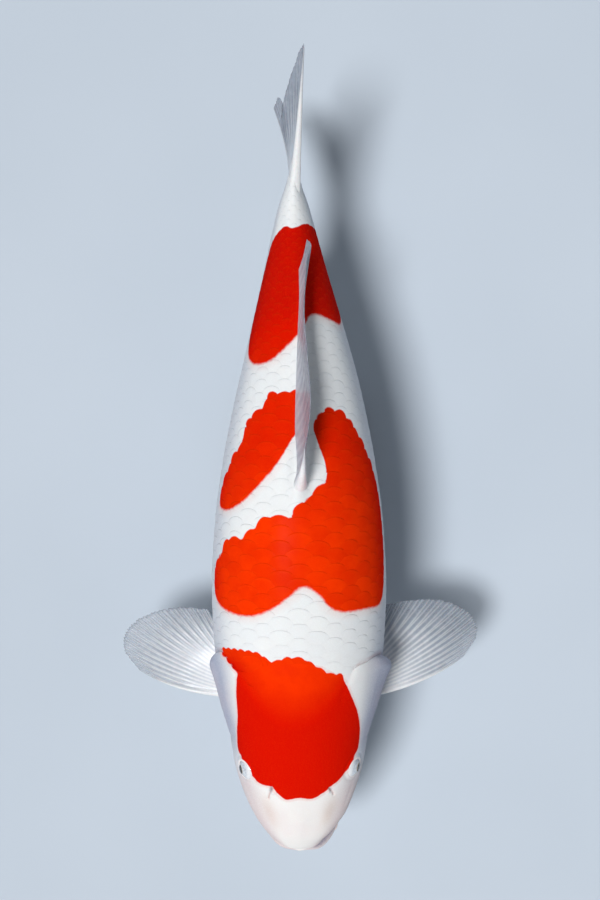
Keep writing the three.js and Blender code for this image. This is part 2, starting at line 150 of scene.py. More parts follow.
def head_line(angle):
    """Station where the head ends, at an angle."""
    turned = np.abs(angle)
    return np.where(angle > 0, left_head_line(turned), right_head_line(turned))


def bend(station):
    """How far the backbone is bent towards the fish's left, in mm."""
    return SNOUT_TURN * (1 - smooth(0, 70, station)) + TAIL_TURN * smooth(430, 620, station)


# ---------------------------------------------------------------- the body's surface

def widest_level(station):
    """Height at which the body is widest."""
    middle = (back_height(station) + belly_height(station)) / 2
    level = WIDEST_LEVEL * (1 - smooth(200, 560, station))
    return mix(middle, level, smooth(0, 40, station))


def fullness(station, upper):
    """The power of the cross-section's curve: an ellipse at 2, and squarer above it."""
    above = 2.1 + 0.1 * smooth(100, 220, station) - 0.2 * smooth(450, 600, station)
    below = 2.5 - 0.5 * smooth(400, 600, station)
    return np.where(upper, above, below)


def section_point(station, angle):
    """Angle 0 is the back and 180 the belly; a negative angle is on the fish's right."""
    sine, cosine = np.sin(np.radians(angle)), np.cos(np.radians(angle))
    level = widest_level(station)
    power = 2 / fullness(station, cosine >= 0)
    reach = np.where(cosine >= 0, back_height(station), belly_height(station)) - level
    x = half_width(station) * np.sign(sine) * np.abs(sine) ** power
    z = level + reach * np.abs(cosine) ** power
    return x, z


def surface_point(station, angle, height=0.0):
    """A point at a height over the body, square to the cross-section's outline."""
    station, angle, height = np.broadcast_arrays(
        np.asarray(station, float), np.asarray(angle, float), np.asarray(height, float))
    x, z = section_point(station, angle)
    x_after, z_after = section_point(station, angle + 1)
    x_before, z_before = section_point(station, angle - 1)
    along_x, along_z = x_after - x_before, z_after - z_before
    length = np.maximum(np.hypot(along_x, along_z), 1e-6)
    x = x - along_z / length * height + bend(station)
    z = z + along_x / length * height
    return np.stack([x, station, z], axis=-1)


def body_excess(points):
    """Below 0 inside the body, above 0 outside it."""
    x, station, z = points[..., 0], points[..., 1], points[..., 2]
    rise = z - widest_level(station)
    upper = rise >= 0
    edge = np.where(upper, back_height(station), belly_height(station))
    reach = np.abs(edge - widest_level(station))
    power = fullness(station, upper)
    across = np.abs(x - bend(station)) / half_width(station)
    return across ** power + (np.abs(rise) / reach) ** power - 1


ARC_STATIONS = np.linspace(60, BODY_LENGTH, 150)
ARC_ANGLES = np.linspace(0, 180, 361)


def arc_tables():
    """Share of the half outline passed at each angle, and the whole outline's length."""
    shares, lengths = [], []
    for station in ARC_STATIONS:
        x, z = section_point(np.full_like(ARC_ANGLES, station), ARC_ANGLES)
        passed = np.concatenate([[0], np.cumsum(np.hypot(np.diff(x), np.diff(z)))])
        shares.append(passed / passed[-1])
        lengths.append(2 * passed[-1])
    return np.array(shares), np.array(lengths)


ARC_SHARES, ARC_LENGTHS = arc_tables()


def girth(station):
    """Distance all round the body, in mm."""
    return np.interp(station, ARC_STATIONS, ARC_LENGTHS)


def angle_at(station, share):
    """The angle where a signed share of the outline, -0.5 to 0.5 from the back, is passed."""
    place = np.clip((station - ARC_STATIONS[0]) / (ARC_STATIONS[1] - ARC_STATIONS[0]), 0,
                    len(ARC_STATIONS) - 1.001)
    row = place.astype(int)
    half = np.clip(np.abs(share) * 2, 0, 1)
    result = np.zeros_like(place)
    for one in np.unique(row):
        here = row == one
        low = np.interp(half[here], ARC_SHARES[one], ARC_ANGLES)
        high = np.interp(half[here], ARC_SHARES[one + 1], ARC_ANGLES)
        result[here] = mix(low, high, place[here] - one)
    over = np.abs(share) > 0.5
    result = np.where(over, 360 - np.interp(1 - np.abs(share), [0, 0.5], [0, 180]), result)
    return np.sign(share) * result


# ---------------------------------------------------------------- markings

# Outlines of the red patches as (station, angle from the back; negative is the right side).
HEAD_CAP = [
    (198, -63), (200, -52), (200.5, -37), (199, -25), (192, -16), (195.5, -8), (196, 0), (192.5, 5),
    (187, 11), (181, 19), (179.5, 27), (173, 30), (158, 37), (139, 47), (122, 55), (107, 58), (98, 54),
    (86, 46), (77, 38), (72, 31), (65, 22), (60, 12), (61, 0), (59, -12), (65, -20),
    (71, -25), (73, -37), (78, -44), (88, -48), (98, -59), (106, -62), (121, -57), (138, -50),
    (159, -47), (172, -44), (178, -43.5), (183, -48), (188, -53), (193, -59),
]
SHOULDER_PATCH = [
    (240, -63), (233, -46), (232, -28), (240, -14), (250, -5), (259, 2), (253, 10), (241, 17),
    (236, 26), (237, 44), (242, 66), (280, 74), (314, 75), (345, 73), (364, 67), (384, 57),
    (402, 46), (413, 36), (416, 23), (413, 16), (401, 9.5), (386, 12), (365, 17), (351, 15), (340, 5),
    (328, -2), (321, -6), (322, -20), (312, -28), (302, -38), (300, -52), (287, -60), (272, -70),
    (252, -70),
]
LEFT_PATCH = [
    (430, -21), (431, 3), (422, 4), (400, 1), (386, -5), (372, -11), (358, -19), (343, -30),
    (332, -40), (325, -54), (328, -68), (344, -71), (358, -64), (373, -57), (386, -47),
    (402, -45), (411, -39), (416, -31), (425, -27),
]
TAIL_PATCH = [
    (569, -62), (579, -38), (582, -20), (580, -4), (582, 12), (585, 32), (584, 60), (580, 92),
    (560, 100), (530, 100), (508, 88), (494, 64), (496, 44), (500, 26), (498, 13), (482, 1),
    (468, -14), (458, -28), (456, -46), (465, -64), (486, -76), (520, -78), (550, -72),
]
BODY_PATCHES = [SHOULDER_PATCH, LEFT_PATCH, TAIL_PATCH]
CURVE_STEPS = 6
LOBE_PITCH = 9.5
LOBE_DEPTH = 2.0


def closed_curve(corners):
    """A smooth closed curve through corners (Catmull-Rom)."""
    corners = np.array(corners, float)
    before, after = np.roll(corners, 1, 0), np.roll(corners, -1, 0)
    beyond = np.roll(corners, -2, 0)
    t = np.linspace(0, 1, CURVE_STEPS, endpoint=False)[None, :, None]
    a, b, c, d = (rows[:, None, :] for rows in (before, corners, after, beyond))
    curve = 0.5 * (2 * b + (c - a) * t + (2 * a - 5 * b + 4 * c - d) * t ** 2
                   + (3 * b - a - 3 * c + d) * t ** 3)
    return curve.reshape(-1, 2)


def unrolled(station, angle):
    """Station, and the distance round the body from the back, both in mm."""
    return np.stack([station, angle * girth(station) / 360], axis=-1)


def patch_depth(outline, places):
    """How far inside an outline each place is, in mm; negative outside."""
    curve = closed_curve(outline)
    start = unrolled(curve[:, 0], curve[:, 1])
    end = np.roll(start, -1, 0)
    nearest = np.full(len(places), np.inf)
    crossings = np.zeros(len(places), int)
    for a, b in zip(start, end):
        side = b - a
        share = np.clip(((places - a) @ side) / (side @ side), 0, 1)
        gap = places - a - share[:, None] * side
        nearest = np.minimum(nearest, np.hypot(gap[:, 0], gap[:, 1]))
        if a[1] != b[1]:
            spans = (a[1] > places[:, 1]) != (b[1] > places[:, 1])
            cut = a[0] + (places[:, 1] - a[1]) / (b[1] - a[1]) * side[0]
            crossings += spans & (places[:, 0] < cut)
    return np.where(crossings % 2 == 1, nearest, -nearest)


def scallops(places):
    """Small round lobes along the rear edge of the cap, in mm."""
    lobes = np.abs(np.cos(np.pi * places[:, 1] / LOBE_PITCH)) - 0.6
    start = np.where(places[:, 1] > -30, 166, 179)
    return LOBE_DEPTH * lobes * smooth(start, start + 11, places[:, 0])


def red_depth(station, angle):
    """How far inside the nearest red patch each place on the body is, in mm."""
    places = unrolled(np.ravel(station), np.ravel(angle))
    depth = patch_depth(HEAD_CAP, places) + scallops(places)
    for patch in BODY_PATCHES:
        depth = np.maximum(depth, patch_depth(patch, places))
    return depth.reshape(np.shape(station))


def facing(station, angle):
    """1 where the nearest edge of the red faces the snout, -1 where it faces the tail."""
    return (red_depth(station + 5, angle) - red_depth(station - 5, angle)) / 10


CRISP_EDGE = 0.6                  # half width of the change from white to red, mm
SOFT_EDGE = 1.7
LOBE_RADIUS = 8.5                 # each scale on a rear edge carries the red out in a lobe
LOBE_RISE = 3.4


def edge_width(towards_snout):
    """Half width of the change from white to red: crisp on rear edges and soft on front ones."""
    return mix(CRISP_EDGE, SOFT_EDGE, smooth(0.3, 0.9, towards_snout))


SKULL_REAR = 150.0                # station of the skull's rear edge, at its middle
SKULL_MIDDLE = -4.0               # angle of that middle


def behind_skull(station, angle):
    """How far behind the skull's rear edge a place is, in mm: the edge is a U round the nape."""
    return station - SKULL_REAR - 26 * ((angle - SKULL_MIDDLE) / 30) ** 2


def warmth(station, angle):
    """How orange the red is: most on the shoulders and least on the head, by the red's own colour; less
    towards the tail, partly the red's own deepening and partly painted shade as the light falls off; and
    least low on the flanks, where it is painted shade.
    """
    nape = smooth(-24, 26, behind_skull(station, angle))
    shoulder = np.where(station < 200, mix(nape, 1, smooth(184, 200, station)), 1)
    along_back = mix(0.28, 1.0, shoulder) * (1 - 0.45 * smooth(300, 400, station))
    # Partly painted shade: the light falls off towards the tail.
    tail_deepening_and_shade = 1 - 0.65 * smooth(430, 520, station)
    # Painted shade: the red darkens low on the flanks, where less light falls.
    flank_painted_shade = 1 - 0.88 * smooth(48, 82, np.abs(angle))
    return along_back * tail_deepening_and_shade * flank_painted_shade


# ---------------------------------------------------------------- making meshes

def to_frame(points):
    """From the fish's millimetres to the shared frame's metres."""
    return (np.asarray(points, float) + [0, -BALANCE_STATION, AXIS_HEIGHT]) * MM


def add_object(name, data):
    """A new object in the scene with the given data."""
    thing = bpy.data.objects.new(name, data)
    bpy.context.scene.collection.objects.link(thing)
    return thing


def make_mesh(name, points, quads, attributes=None, uv=None, triangles=()):
    """A smooth-shaded object from fish points and faces. Attributes hold a value for each point."""
    mesh = bpy.data.meshes.new(name)
    faces = [np.asarray(quads, int).reshape(-1, 4), np.asarray(triangles, int).reshape(-1, 3)]
    loops = np.concatenate([part.ravel() for part in faces])
    sizes = np.concatenate([np.full(len(part), part.shape[1]) for part in faces])
    mesh.vertices.add(len(points))
    mesh.vertices.foreach_set("co", to_frame(points).ravel())
    mesh.loops.add(len(loops))
    mesh.loops.foreach_set("vertex_index", loops)
    mesh.polygons.add(len(sizes))
    mesh.polygons.foreach_set("loop_start", np.concatenate([[0], np.cumsum(sizes)[:-1]]))
    mesh.polygons.foreach_set("loop_total", sizes)
    mesh.polygons.foreach_set("use_smooth", np.ones(len(sizes), bool))
    mesh.update(calc_edges=True)
    mesh.validate()
    for key, values in (attributes or {}).items():
        values = np.asarray(values, float)
        kind, field = ("FLOAT", "value") if values.ndim == 1 else ("FLOAT_VECTOR", "vector")
        mesh.attributes.new(key, kind, "POINT").data.foreach_set(field, values.ravel())
    if uv is not None:
        layer = mesh.uv_layers.new(name="OFBake")
        layer.data.foreach_set("uv", np.asarray(uv, float)[loops].ravel())
    return add_object(name, mesh)


def grid_quads(rows, columns, closed=False, first=0):
    """Faces of a grid of points, closed round in its columns if asked."""
    row, column = np.meshgrid(np.arange(rows - 1), np.arange(columns - (0 if closed else 1)),
                              indexing="ij")
    row, column = row.ravel(), column.ravel()
    beside = (column + 1) % columns
    a = row * columns + column
    b = row * columns + beside
    return np.stack([a, b, b + columns, a + columns], axis=1) + first


def rim_quads(rows, columns, below):
    """Faces that join the border of a grid to the same grid of points numbered from below."""
    border = np.concatenate([
        np.arange(columns), np.arange(1, rows) * columns + columns - 1,
        (rows - 1) * columns + np.arange(columns - 2, -1, -1),
        np.arange(rows - 2, 0, -1) * columns])
    beyond = np.roll(border, -1)
    return np.stack([beyond, border, border + below, beyond + below], axis=1)


def signed_volume(points, quads):
    """The volume a grid of quads encloses, in mm cubed: above 0 where its faces look outwards."""
    a, b, c, d = (points[quads[:, i]] for i in range(4))
    near, far = np.cross(b, c), np.cross(c, d)
    return (np.einsum("ij,ij->i", a, near) + np.einsum("ij,ij->i", a, far)).sum()


def facing_out(points, quads):
    """The quads of a closed shape, turned to look outwards."""
    return quads if signed_volume(points - points.mean(0), quads) > 0 else quads[:, ::-1]


def place_piece(piece, material, slot, *nodes):
    """Gives a piece its material, on the one body, in place of the solids it replaces; the slot it is given
    is not used.
    """
    piece.data.materials.append(material)
    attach(piece, "root")
    if nodes:
        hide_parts(*nodes)


def grid_normals(points):
    """Unit normals of a grid of points that is closed round in its columns."""
    round_it = np.roll(points, -1, 1) - np.roll(points, 1, 1)
    along = np.gradient(points, axis=0)
    normal = np.cross(round_it, along)
    return normal / np.maximum(np.linalg.norm(normal, axis=-1, keepdims=True), 1e-9)


# ---------------------------------------------------------------- the skin

HEAD_RINGS = 262
TRUNK_RINGS = 54
SKIN_COLUMNS = 300
LINE_GROOVE = 0.35                # depth of the groove where the head's rear line has no free edge
# The gill cover's free edge: step behind it, height against it, and share of the trunk's level.
FOLD = [
    (0.25, -0.35, 0.0), (0.35, -0.9, 0.0), (0.1, -1.4, 0.0), (-1.2, -1.6, 0.3),
    (-3.0, -1.6, 0.8), (-3.0, -0.8, 1.0), (-1.0, 0.0, 1.0), (1.0, 0.0, 1.0),
]
# The darkening of that fold, in pink, is painted shade.
FOLD_SHADE = [0, 0, 0.25, 0.6, 0.9, 0.9, 0.6, 0]      # how dark each ring of that fold is


def skin_angles():
    """Angles round the body, closer together at the eyes, nostrils and mouth."""
    angle = np.linspace(-180, 180, 3601)
    density = 1 + 1.2 * bump(48, 26, np.abs(angle)) + 0.5 * bump(105, 18, np.abs(angle))
    passed = np.concatenate([[0], np.cumsum((density[1:] + density[:-1]) / 2)])
    wanted = np.linspace(0, passed[-1], SKIN_COLUMNS, endpoint=False)
    return np.interp(wanted, passed, angle)


def gill_share(angle):
    """How far down the gill cover an angle is, 0 at its top to 1 at its bottom."""
    return np.clip((np.abs(angle) - GILL_TOP) / (GILL_BOTTOM - GILL_TOP), 0, 1)


def gill_lift(station, angle):
    """How far the gill cover stands out over the body."""
    turned, share, line = np.abs(angle), gill_share(angle), head_line(angle)
    front = mix(GILL_FRONT[0], GILL_FRONT[1], share)
    along = np.clip((station - front) / (line - 8 - front), 0, 1)
    crown = 0.12 + 0.88 * smooth(0.14, 0.44, share) * (1 - 0.6 * smooth(0.7, 1, share))
    fade = smooth(GILL_TOP - 8, GILL_TOP + 8, turned) * (1 - smooth(140, 158, turned))
    rise = np.where(angle > 0, GILL_RISE[1], GILL_RISE[-1])
    to_edge = np.clip(1 - (line - station) / GILL_ROUNDING, 0, 1)
    rounding = np.sqrt(np.clip(1 - to_edge ** 2, 0, 1))
    return fade * (rise * crown * along ** 2 * rounding + 0.5 * along ** 4)


def fold_share(angle):
    """How much of a free edge the head's line has: none over the back."""
    turned = np.abs(angle)
    return smooth(GILL_TOP - 3, GILL_TOP + 6, turned) * (1 - 0.75 * smooth(140, 165, turned))


def back_ridge(station, angle):
    """The flesh that rises to meet the dorsal fin's root, in mm."""
    across = angle * girth(station) / 360 + 1.2 - 3.5 * smooth(345, 470, station)
    along = smooth(322, 352, station) * (1 - smooth(510, 560, station))
    ramp = smooth(316, 356, station) * (1 - smooth(356, 400, station))
    return 3.0 * along * bump(0, 6.0, across) + 6.5 * ramp * bump(0, 8.0, across)


def eye_frame(side):
    """Centre of an eyeball and the direction it looks in."""
    outward = np.array([side, -EYE["forward"], EYE["upward"]])
    outward /= np.linalg.norm(outward)
    station, angle = EYE_PLACE[side]
    centre = surface_point(station, side * angle) - outward * EYE["sunk"]
    return centre, outward


def from_eye_axis(points, side):
    """Distance from the line along which an eye faces; infinite on the head's other side."""
    centre, outward = eye_frame(side)
    away = points - centre
    axial = away @ outward
    radial = np.linalg.norm(away - axial[..., None] * outward, axis=-1)
    return np.where(axial > 0, radial, np.inf)


MOUTH_LEVEL = -29.5               # height of the mouth's line at the snout
MOUTH_FALL = 0.456                # how steeply the line falls behind it
MOUTH_END = 29.0


def mouth_height(station):
    """Height of the mouth's line as it runs back along the jaw."""
    return MOUTH_LEVEL - MOUTH_FALL * np.maximum(station - 5, 0)


def mouth_place(points):
    """Height over the mouth's line, how full the lips are, height in lips, and the left lip's spread."""
    x, station, z = points[..., 0], points[..., 1], points[..., 2]
    over = z - mouth_height(station)
    full = 1 - smooth(MOUTH_END - 14, MOUTH_END + 3, station)
    in_lips = over / mix(0.6, 1.0, full)
    flap = smooth(3, 13, x) * smooth(0, 4.5, station) * (1 - smooth(29, 38, station))
    return over, full, in_lips, flap


def mouth_relief(points):
    """Lips above and below the mouth's line, and the cleft between them."""
    x, station = points[..., 0], points[..., 1]
    over, full, in_lips, flap = mouth_place(points)

    def roll(middle, half):
        return np.sqrt(np.clip(1 - ((in_lips - middle) / half) ** 2, 0, 1))

    wrinkles = 0.10 * np.cos(1.7 * x + 0.5 * station)
    upper = roll(4.2, 4.6) * (2.0 * full + 1.9 * flap + wrinkles)
    lower = roll(-3.9, 4.2) * (1.7 * full + 0.6 * flap + wrinkles)
    cleft = -2.4 * bump(0, 0.9, over) * (1 - smooth(MOUTH_END - 5, MOUTH_END + 1, station))
    crease = -0.9 * bump(9.5, mix(1.6, 0.9, flap), in_lips) - 0.7 * bump(-8.4, 1.4, in_lips)
    corner = -0.8 * bump(0, 2.6, np.hypot(station - MOUTH_END - 2, over + 2))
    above = smooth(8.2, 10.2, over) * (1 - smooth(12, 22 + 0.8 * station, over))
    drawn_in = -2.6 * flap * above * smooth(2, 12, station)
    return upper + lower + cleft + corner + drawn_in + crease * (1 - smooth(22, 40, station))


# Each nostril's slit, from its open rear end to its front: (station, angle) twice.
NOSTRILS = {1: ((69.5, 29.5), (62.5, 35.5)), -1: ((70.0, -25.5), (58.5, -32.0))}


def nostril_gaps(points, side):
    """Distance from a nostril's slit, how far along it, and distance from the flap beside it."""
    rear, front = (surface_point(*end) for end in NOSTRILS[side])
    slit = front - rear
    along = np.clip(((points - rear) @ slit) / (slit @ slit), 0, 1)
    from_slit = np.linalg.norm(points - rear - along[..., None] * slit, axis=-1)
    beside = np.array([-side * 2.6, 0.0, 1.0])
    from_flap = np.linalg.norm(points - (rear + 0.35 * slit + beside), axis=-1)
    return from_slit, along, from_flap


def gill_ribs(station, turned):
    """Faint ridges that fan out over the gill cover from its upper front corner."""
    back, down = station - 126, (turned - 62) * 1.25
    fan, reach = np.arctan2(down, back), np.hypot(back, down)
    on_cover = smooth(8, 22, reach) * (1 - smooth(46, 60, reach)) * smooth(56, 64, turned) * (back > 0)
    return 0.11 * np.cos(22 * fan) * on_cover


# Lines of small pores: from and to (station, angle), and how many.
PORES = [
    ((58, 60), (80, 77), 7), ((80, 77), (108, 74), 8),
    ((112, 78), (120, 112), 8), ((44, 50), (58, 60), 4),
]


def pores(station, turned):
    """Small pits of the sense organs over the snout and cheeks, the same on both sides."""
    pits = np.zeros_like(station)
    for start, end, count in PORES:
        for i, share in enumerate(np.linspace(0, 1, count)):
            at_station = mix(start[0], end[0], share) + 1.2 * math.sin(7 * i)
            at_angle = mix(start[1], end[1], share) + 1.3 * math.cos(5 * i)
            pits += bump(0, 0.75, np.hypot(station - at_station, (turned - at_angle) * 1.1))
    return 0.18 * np.minimum(pits, 1)


def snout_relief(station, turned):
    """The ridge of the snout, and the hollow in front of each eye."""
    hollow = bump(0, 11, np.hypot(station - 50, (turned - 46) * 0.9))
    ridge = bump(0, 9, turned) * bump(34, 16, station)
    return 0.8 * ridge - 0.9 * hollow


def cheek_relief(station, turned, share):
    """The fold in front of the gill cover, the seam between its plates and the groove below the eye."""
    arc = np.sin(np.pi * share)
    from_fold = station - mix(GILL_FRONT[0], GILL_FRONT[1], share) + 4 * arc
    from_seam = station - 148 - 10 * share - 14 * arc
    swell = smooth(0, 10, from_fold) * (1 - smooth(12, 44, from_fold))
    relief = 0.4 * swell - 0.6 * bump(0, 1.8, from_fold) - 0.35 * bump(0, 1.4, from_seam)
    on_cheek = smooth(62, 76, turned) * (1 - smooth(128, 142, turned))
    below_eye = smooth(40, 54, station) * (1 - smooth(62, 74, station))
    return relief * on_cheek - 0.35 * bump(0, 3.2, (turned - 61) * 0.9) * below_eye


def nape_relief(station, angle):
    """The grooves that lead to the gill openings, and the step at the skull's rear edge."""
    turned, left = np.abs(angle), angle > 0
    course = smooth(158, 181, station)
    groove = np.where(left, 29 + 6 * course, 27 + 16 * course)
    depth = np.where(left, 0.4, 0.8)
    cut = depth * bump(0, 2.6, (turned - groove) * 1.25) * smooth(140, 172, station)
    lip = 0.5 * depth * bump(0, 3.4, (turned - groove - 5) * 1.25) * smooth(150, 172, station)
    behind = behind_skull(station, angle)
    on_nape = (1 - smooth(26, 34, turned)) * (1 - smooth(-16, -2, station - head_line(angle)))
    step = (0.8 * smooth(-10, 18, behind) - 0.3 * bump(-4, 5, behind)) * on_nape
    return lip - cut + step


def nostril_relief(points, side):
    """A nostril's slit, deepest at its open rear end, and the flap of skin beside it."""
    from_slit, along, from_flap = nostril_gaps(points, side)
    slit = 0.8 * bump(0, 0.9, from_slit)
    rear = 2.4 * bump(0, 1.4, np.hypot(from_slit, 5 * along))
    front = 0.7 * bump(0, 1.1, np.hypot(from_slit, 6 * (1 - along)))
    return 1.5 * bump(0, 2.1, from_flap) - slit - rear - front


def with_eye(relief, from_ring):
    """The relief with an eye's socket and folds in it, by the distance outside the eye's ring."""
    socket = 5.5 * (1 - smooth(-1.9, -0.2, from_ring))
    folds = 0.8 * bump(1.0, 1.8, from_ring) - 0.4 * bump(4.4, 1.6, from_ring)
    return relief * smooth(-1, 4, from_ring) - socket + folds


def head_relief(points, station, angle):
    """Folds, hollows and openings of the head, in mm outwards."""
    turned = np.abs(angle)
    relief = mouth_relief(points) + snout_relief(station, turned) + nape_relief(station, angle)
    relief += cheek_relief(station, turned, gill_share(angle))
    relief += gill_ribs(station, turned) - pores(station, turned)
    for side in (1, -1):
        relief += nostril_relief(points, side)
        relief = with_eye(relief, from_eye_axis(points, side) - EYE_RING_RADIUS)
    return relief


def skin_rows(angles):
    """Station and height of each ring of the skin, from the snout to the tail."""
    line, folded = head_line(angles), fold_share(angles)
    stations, heights = [], []
    for share in np.arange(1, HEAD_RINGS + 1) / HEAD_RINGS:
        nominal = NAPE_STATION * share ** 1.25
        station = nominal + (line - NAPE_STATION) * (nominal / NAPE_STATION) ** 3
        dip = -LINE_GROOVE * smooth(-3, 0, station - line) * (1 - folded)
        stations.append(station)
        heights.append(gill_lift(station, angles) + dip)
    edge = heights[-1]
    for ring, (step, height, level) in enumerate(FOLD, start=1):
        closed = mix(-LINE_GROOVE, -COAT_DEPTH, ring / len(FOLD))
        opened = mix(edge + height, -COAT_DEPTH, level)
        stations.append(line + mix(0.2 * ring, step + 0.3, folded))
        heights.append(mix(closed, opened, folded))
    start = stations[-1]
    for share in np.arange(1, TRUNK_RINGS + 1) / TRUNK_RINGS:
        station = mix(start, BODY_LENGTH, share)
        covered = -COAT_DEPTH * (1 - smooth(620, BODY_LENGTH, station))
        stations.append(station)
        heights.append(covered + back_ridge(station, angles))
    return np.array(stations), np.array(heights)


# Paints where the fish isn't red, linear RGB.
WHITE = np.array([0.80, 0.80, 0.79])
CREAM = np.array([0.83, 0.78, 0.74])
BEIGE = np.array([0.66, 0.52, 0.45])
# Blue-grey of painted shade and painted reflection on the white sides, and partly the gill covers' own
# tint.
LAVENDER = np.array([0.31, 0.345, 0.46])
LILAC = np.array([0.55, 0.42, 0.43])
# Near-black painted shadow: the line over the upper lip and the open ends of the nostrils.
PAINTED_SHADOW = np.array([0.13, 0.12, 0.18])
PINK = np.array([0.80, 0.52, 0.47])
COOL = np.array([0.66, 0.69, 0.74])
# The dorsal fin's leading edge white, brighter than the fish's own white: painted light on its steep front
# face.
SPINE_PAINTED_LIGHT = np.array([0.95, 0.95, 0.95])
# Pink darkened as painted shade: the mouth's cleft, the nostrils' slits and the fold behind the gill
# covers.
SHADED_PINK = np.array([0.42, 0.15, 0.13])
EYE_RING_PAINT = np.array([0.84, 0.77, 0.75])
NEVER_RED = -9.0                  # a depth in the red that is well outside it


def blend_paint(paint, colour, share):
    """Paint with a share of a colour laid over it at every point."""
    return paint + (colour - paint) * np.asarray(share)[..., None]


def layered(base, shape, layers):
    """Colours laid one over another on a base, each with its share at every point."""
    paint = np.broadcast_to(base, shape + (3,))
    for colour, share in layers:
        paint = blend_paint(paint, colour, share)
    return paint


def flank_shade(station, turned):
    """How blue-grey the white is: painted shade and painted blue reflection on the sides, most on the gill
    covers, where it is partly their own grey-blue tint, less along the flanks, elsewhere none.
    """
    side = smooth(42, 68, turned) * (1 - smooth(130, 160, turned))
    head = 0.9 * smooth(60, 130, station)
    return side * mix(head, 0.4, smooth(184, 204, station))


def mouth_layers(points, station):
    """Pink lips with painted shade in the cleft between them, and a cool fold with a painted shadow line
    over the upper lip's left half.
    """
    over, _, in_lips, flap = mouth_place(points)
    lips = 1 - smooth(MOUTH_END - 2, MOUTH_END + 6, station)
    return [
        (PINK, 0.35 * lips * bump(0.5, 3.4, over)),
        (SHADED_PINK, 0.9 * lips * bump(0, 0.8, over)),
        (COOL, 0.5 * flap * bump(4.4, 3.6, in_lips)),
        (PAINTED_SHADOW, 0.85 * flap * bump(9.1, 1.0, in_lips)),
    ]


def nostril_layers(points, side):
    """A white flap beside a nostril's slit, painted pink shade along the slit, and a dark painted shadow in
    its open end.
    """
    from_slit, along, from_flap = nostril_gaps(points, side)
    return [
        (WHITE, 0.9 * bump(0, 2.6, from_flap)),
        (SHADED_PINK, 0.6 * bump(0, 0.7, from_slit)),
        (PAINTED_SHADOW, bump(0, 1.5, np.hypot(from_slit, 4.5 * along))),
    ]


def skin_paint(points, station, angle, fold_painted_shade):
    """The skin's colour where it isn't red, with painted shade on its sides, in the fold behind the gill
    covers, at the mouth and at the nostrils.
    """
    turned = np.abs(angle)
    snout = 1 - smooth(66, 100, station)
    layers = [
        (CREAM, 0.6 * (1 - smooth(40, 90, station))),
        (BEIGE, 0.62 * bump(44, 15, station) * bump(36, 10, turned)),
        (LILAC, 0.6 * snout * smooth(30, 60, turned) * (1 - smooth(110, 140, turned))),
        (LAVENDER, flank_shade(station, turned)),
        (PINK, 0.14 * bump(150, 22, station) * bump(86, 22, turned)),
    ]
    layers += mouth_layers(points, station)
    layers.append((PINK, 0.25 * bump(180, 40, turned) * smooth(40, 70, station)))
    layers += nostril_layers(points, 1) + nostril_layers(points, -1)
    layers += [(BEIGE, pores(station, turned)), (SHADED_PINK, fold_painted_shade)]
    return layered(WHITE, station.shape, layers)


def skin_red(points, station, angle):
    """How far inside the red each place on the skin is, in mm; the folds round the eyes are outside."""
    from_eye = np.minimum(from_eye_axis(points, 1), from_eye_axis(points, -1))
    return np.minimum(red_depth(station, angle), from_eye - EYE_RING_RADIUS - 1.3)


def skin_normals(points, station, angle):
    """Unit normals of the smooth body at the skin's points, looking outwards."""
    normal = grid_normals(points)
    lifted = surface_point(station, angle, 1.0) - points
    return normal if (normal * lifted).sum() > 0 else -normal


def skin_faces(points, rows, columns):
    """Quads over the rings and across the snout, and triangles at the snout's ends and the tail's."""
    half = columns // 2
    across = np.arange(1, half - 1)
    snout = np.stack([across + 1, across, columns - across, columns - across - 1], axis=1)
    quads = np.concatenate([grid_quads(rows, columns, closed=True), snout])
    snout_ends = np.array([[1, 0, columns - 1], [half + 1, half, half - 1]])
    last = (rows - 1) * columns + np.arange(columns)
    fan = np.stack([last, np.roll(last, -1), np.full(columns, rows * columns)], axis=1)
    triangles = np.concatenate([snout_ends, fan])
    if signed_volume(points, quads) > 0:
        return quads, triangles
    return quads[:, ::-1], triangles[:, ::-1]


def skin_grid():
    """Station and angle of the skin's points, and their places on the smooth body and on the skin."""
    angles = skin_angles()
    stations, heights = skin_rows(angles)
    turned = np.broadcast_to(angles, stations.shape)
    smooth_body = surface_point(stations, turned)
    relief = np.zeros_like(stations)
    head = slice(0, HEAD_RINGS)
    relief[head] = head_relief(smooth_body[head], stations[head], turned[head])
    normal = skin_normals(smooth_body, stations, turned)
    grid = surface_point(stations, turned, heights) + normal * relief[..., None]
    return stations, turned, smooth_body, grid


def skin_colours(stations, turned, smooth_body):
    """The skin's paint, and how far inside the red each point is, in edge widths."""
    fold_painted_shade = np.zeros_like(stations)
    fold_painted_shade[HEAD_RINGS:HEAD_RINGS + len(FOLD)] = np.array(FOLD_SHADE)[:, None]
    paint = skin_paint(smooth_body, stations, turned, fold_painted_shade * fold_share(turned))
    depth = skin_red(smooth_body, stations, turned)
    paint = blend_paint(paint, PINK, 0.6 * bump(-1.1, 1.2, depth))
    trunk_edge = edge_width(facing(stations, turned))
    return paint, depth / np.where(stations < NAPE_STATION, CRISP_EDGE, trunk_edge)


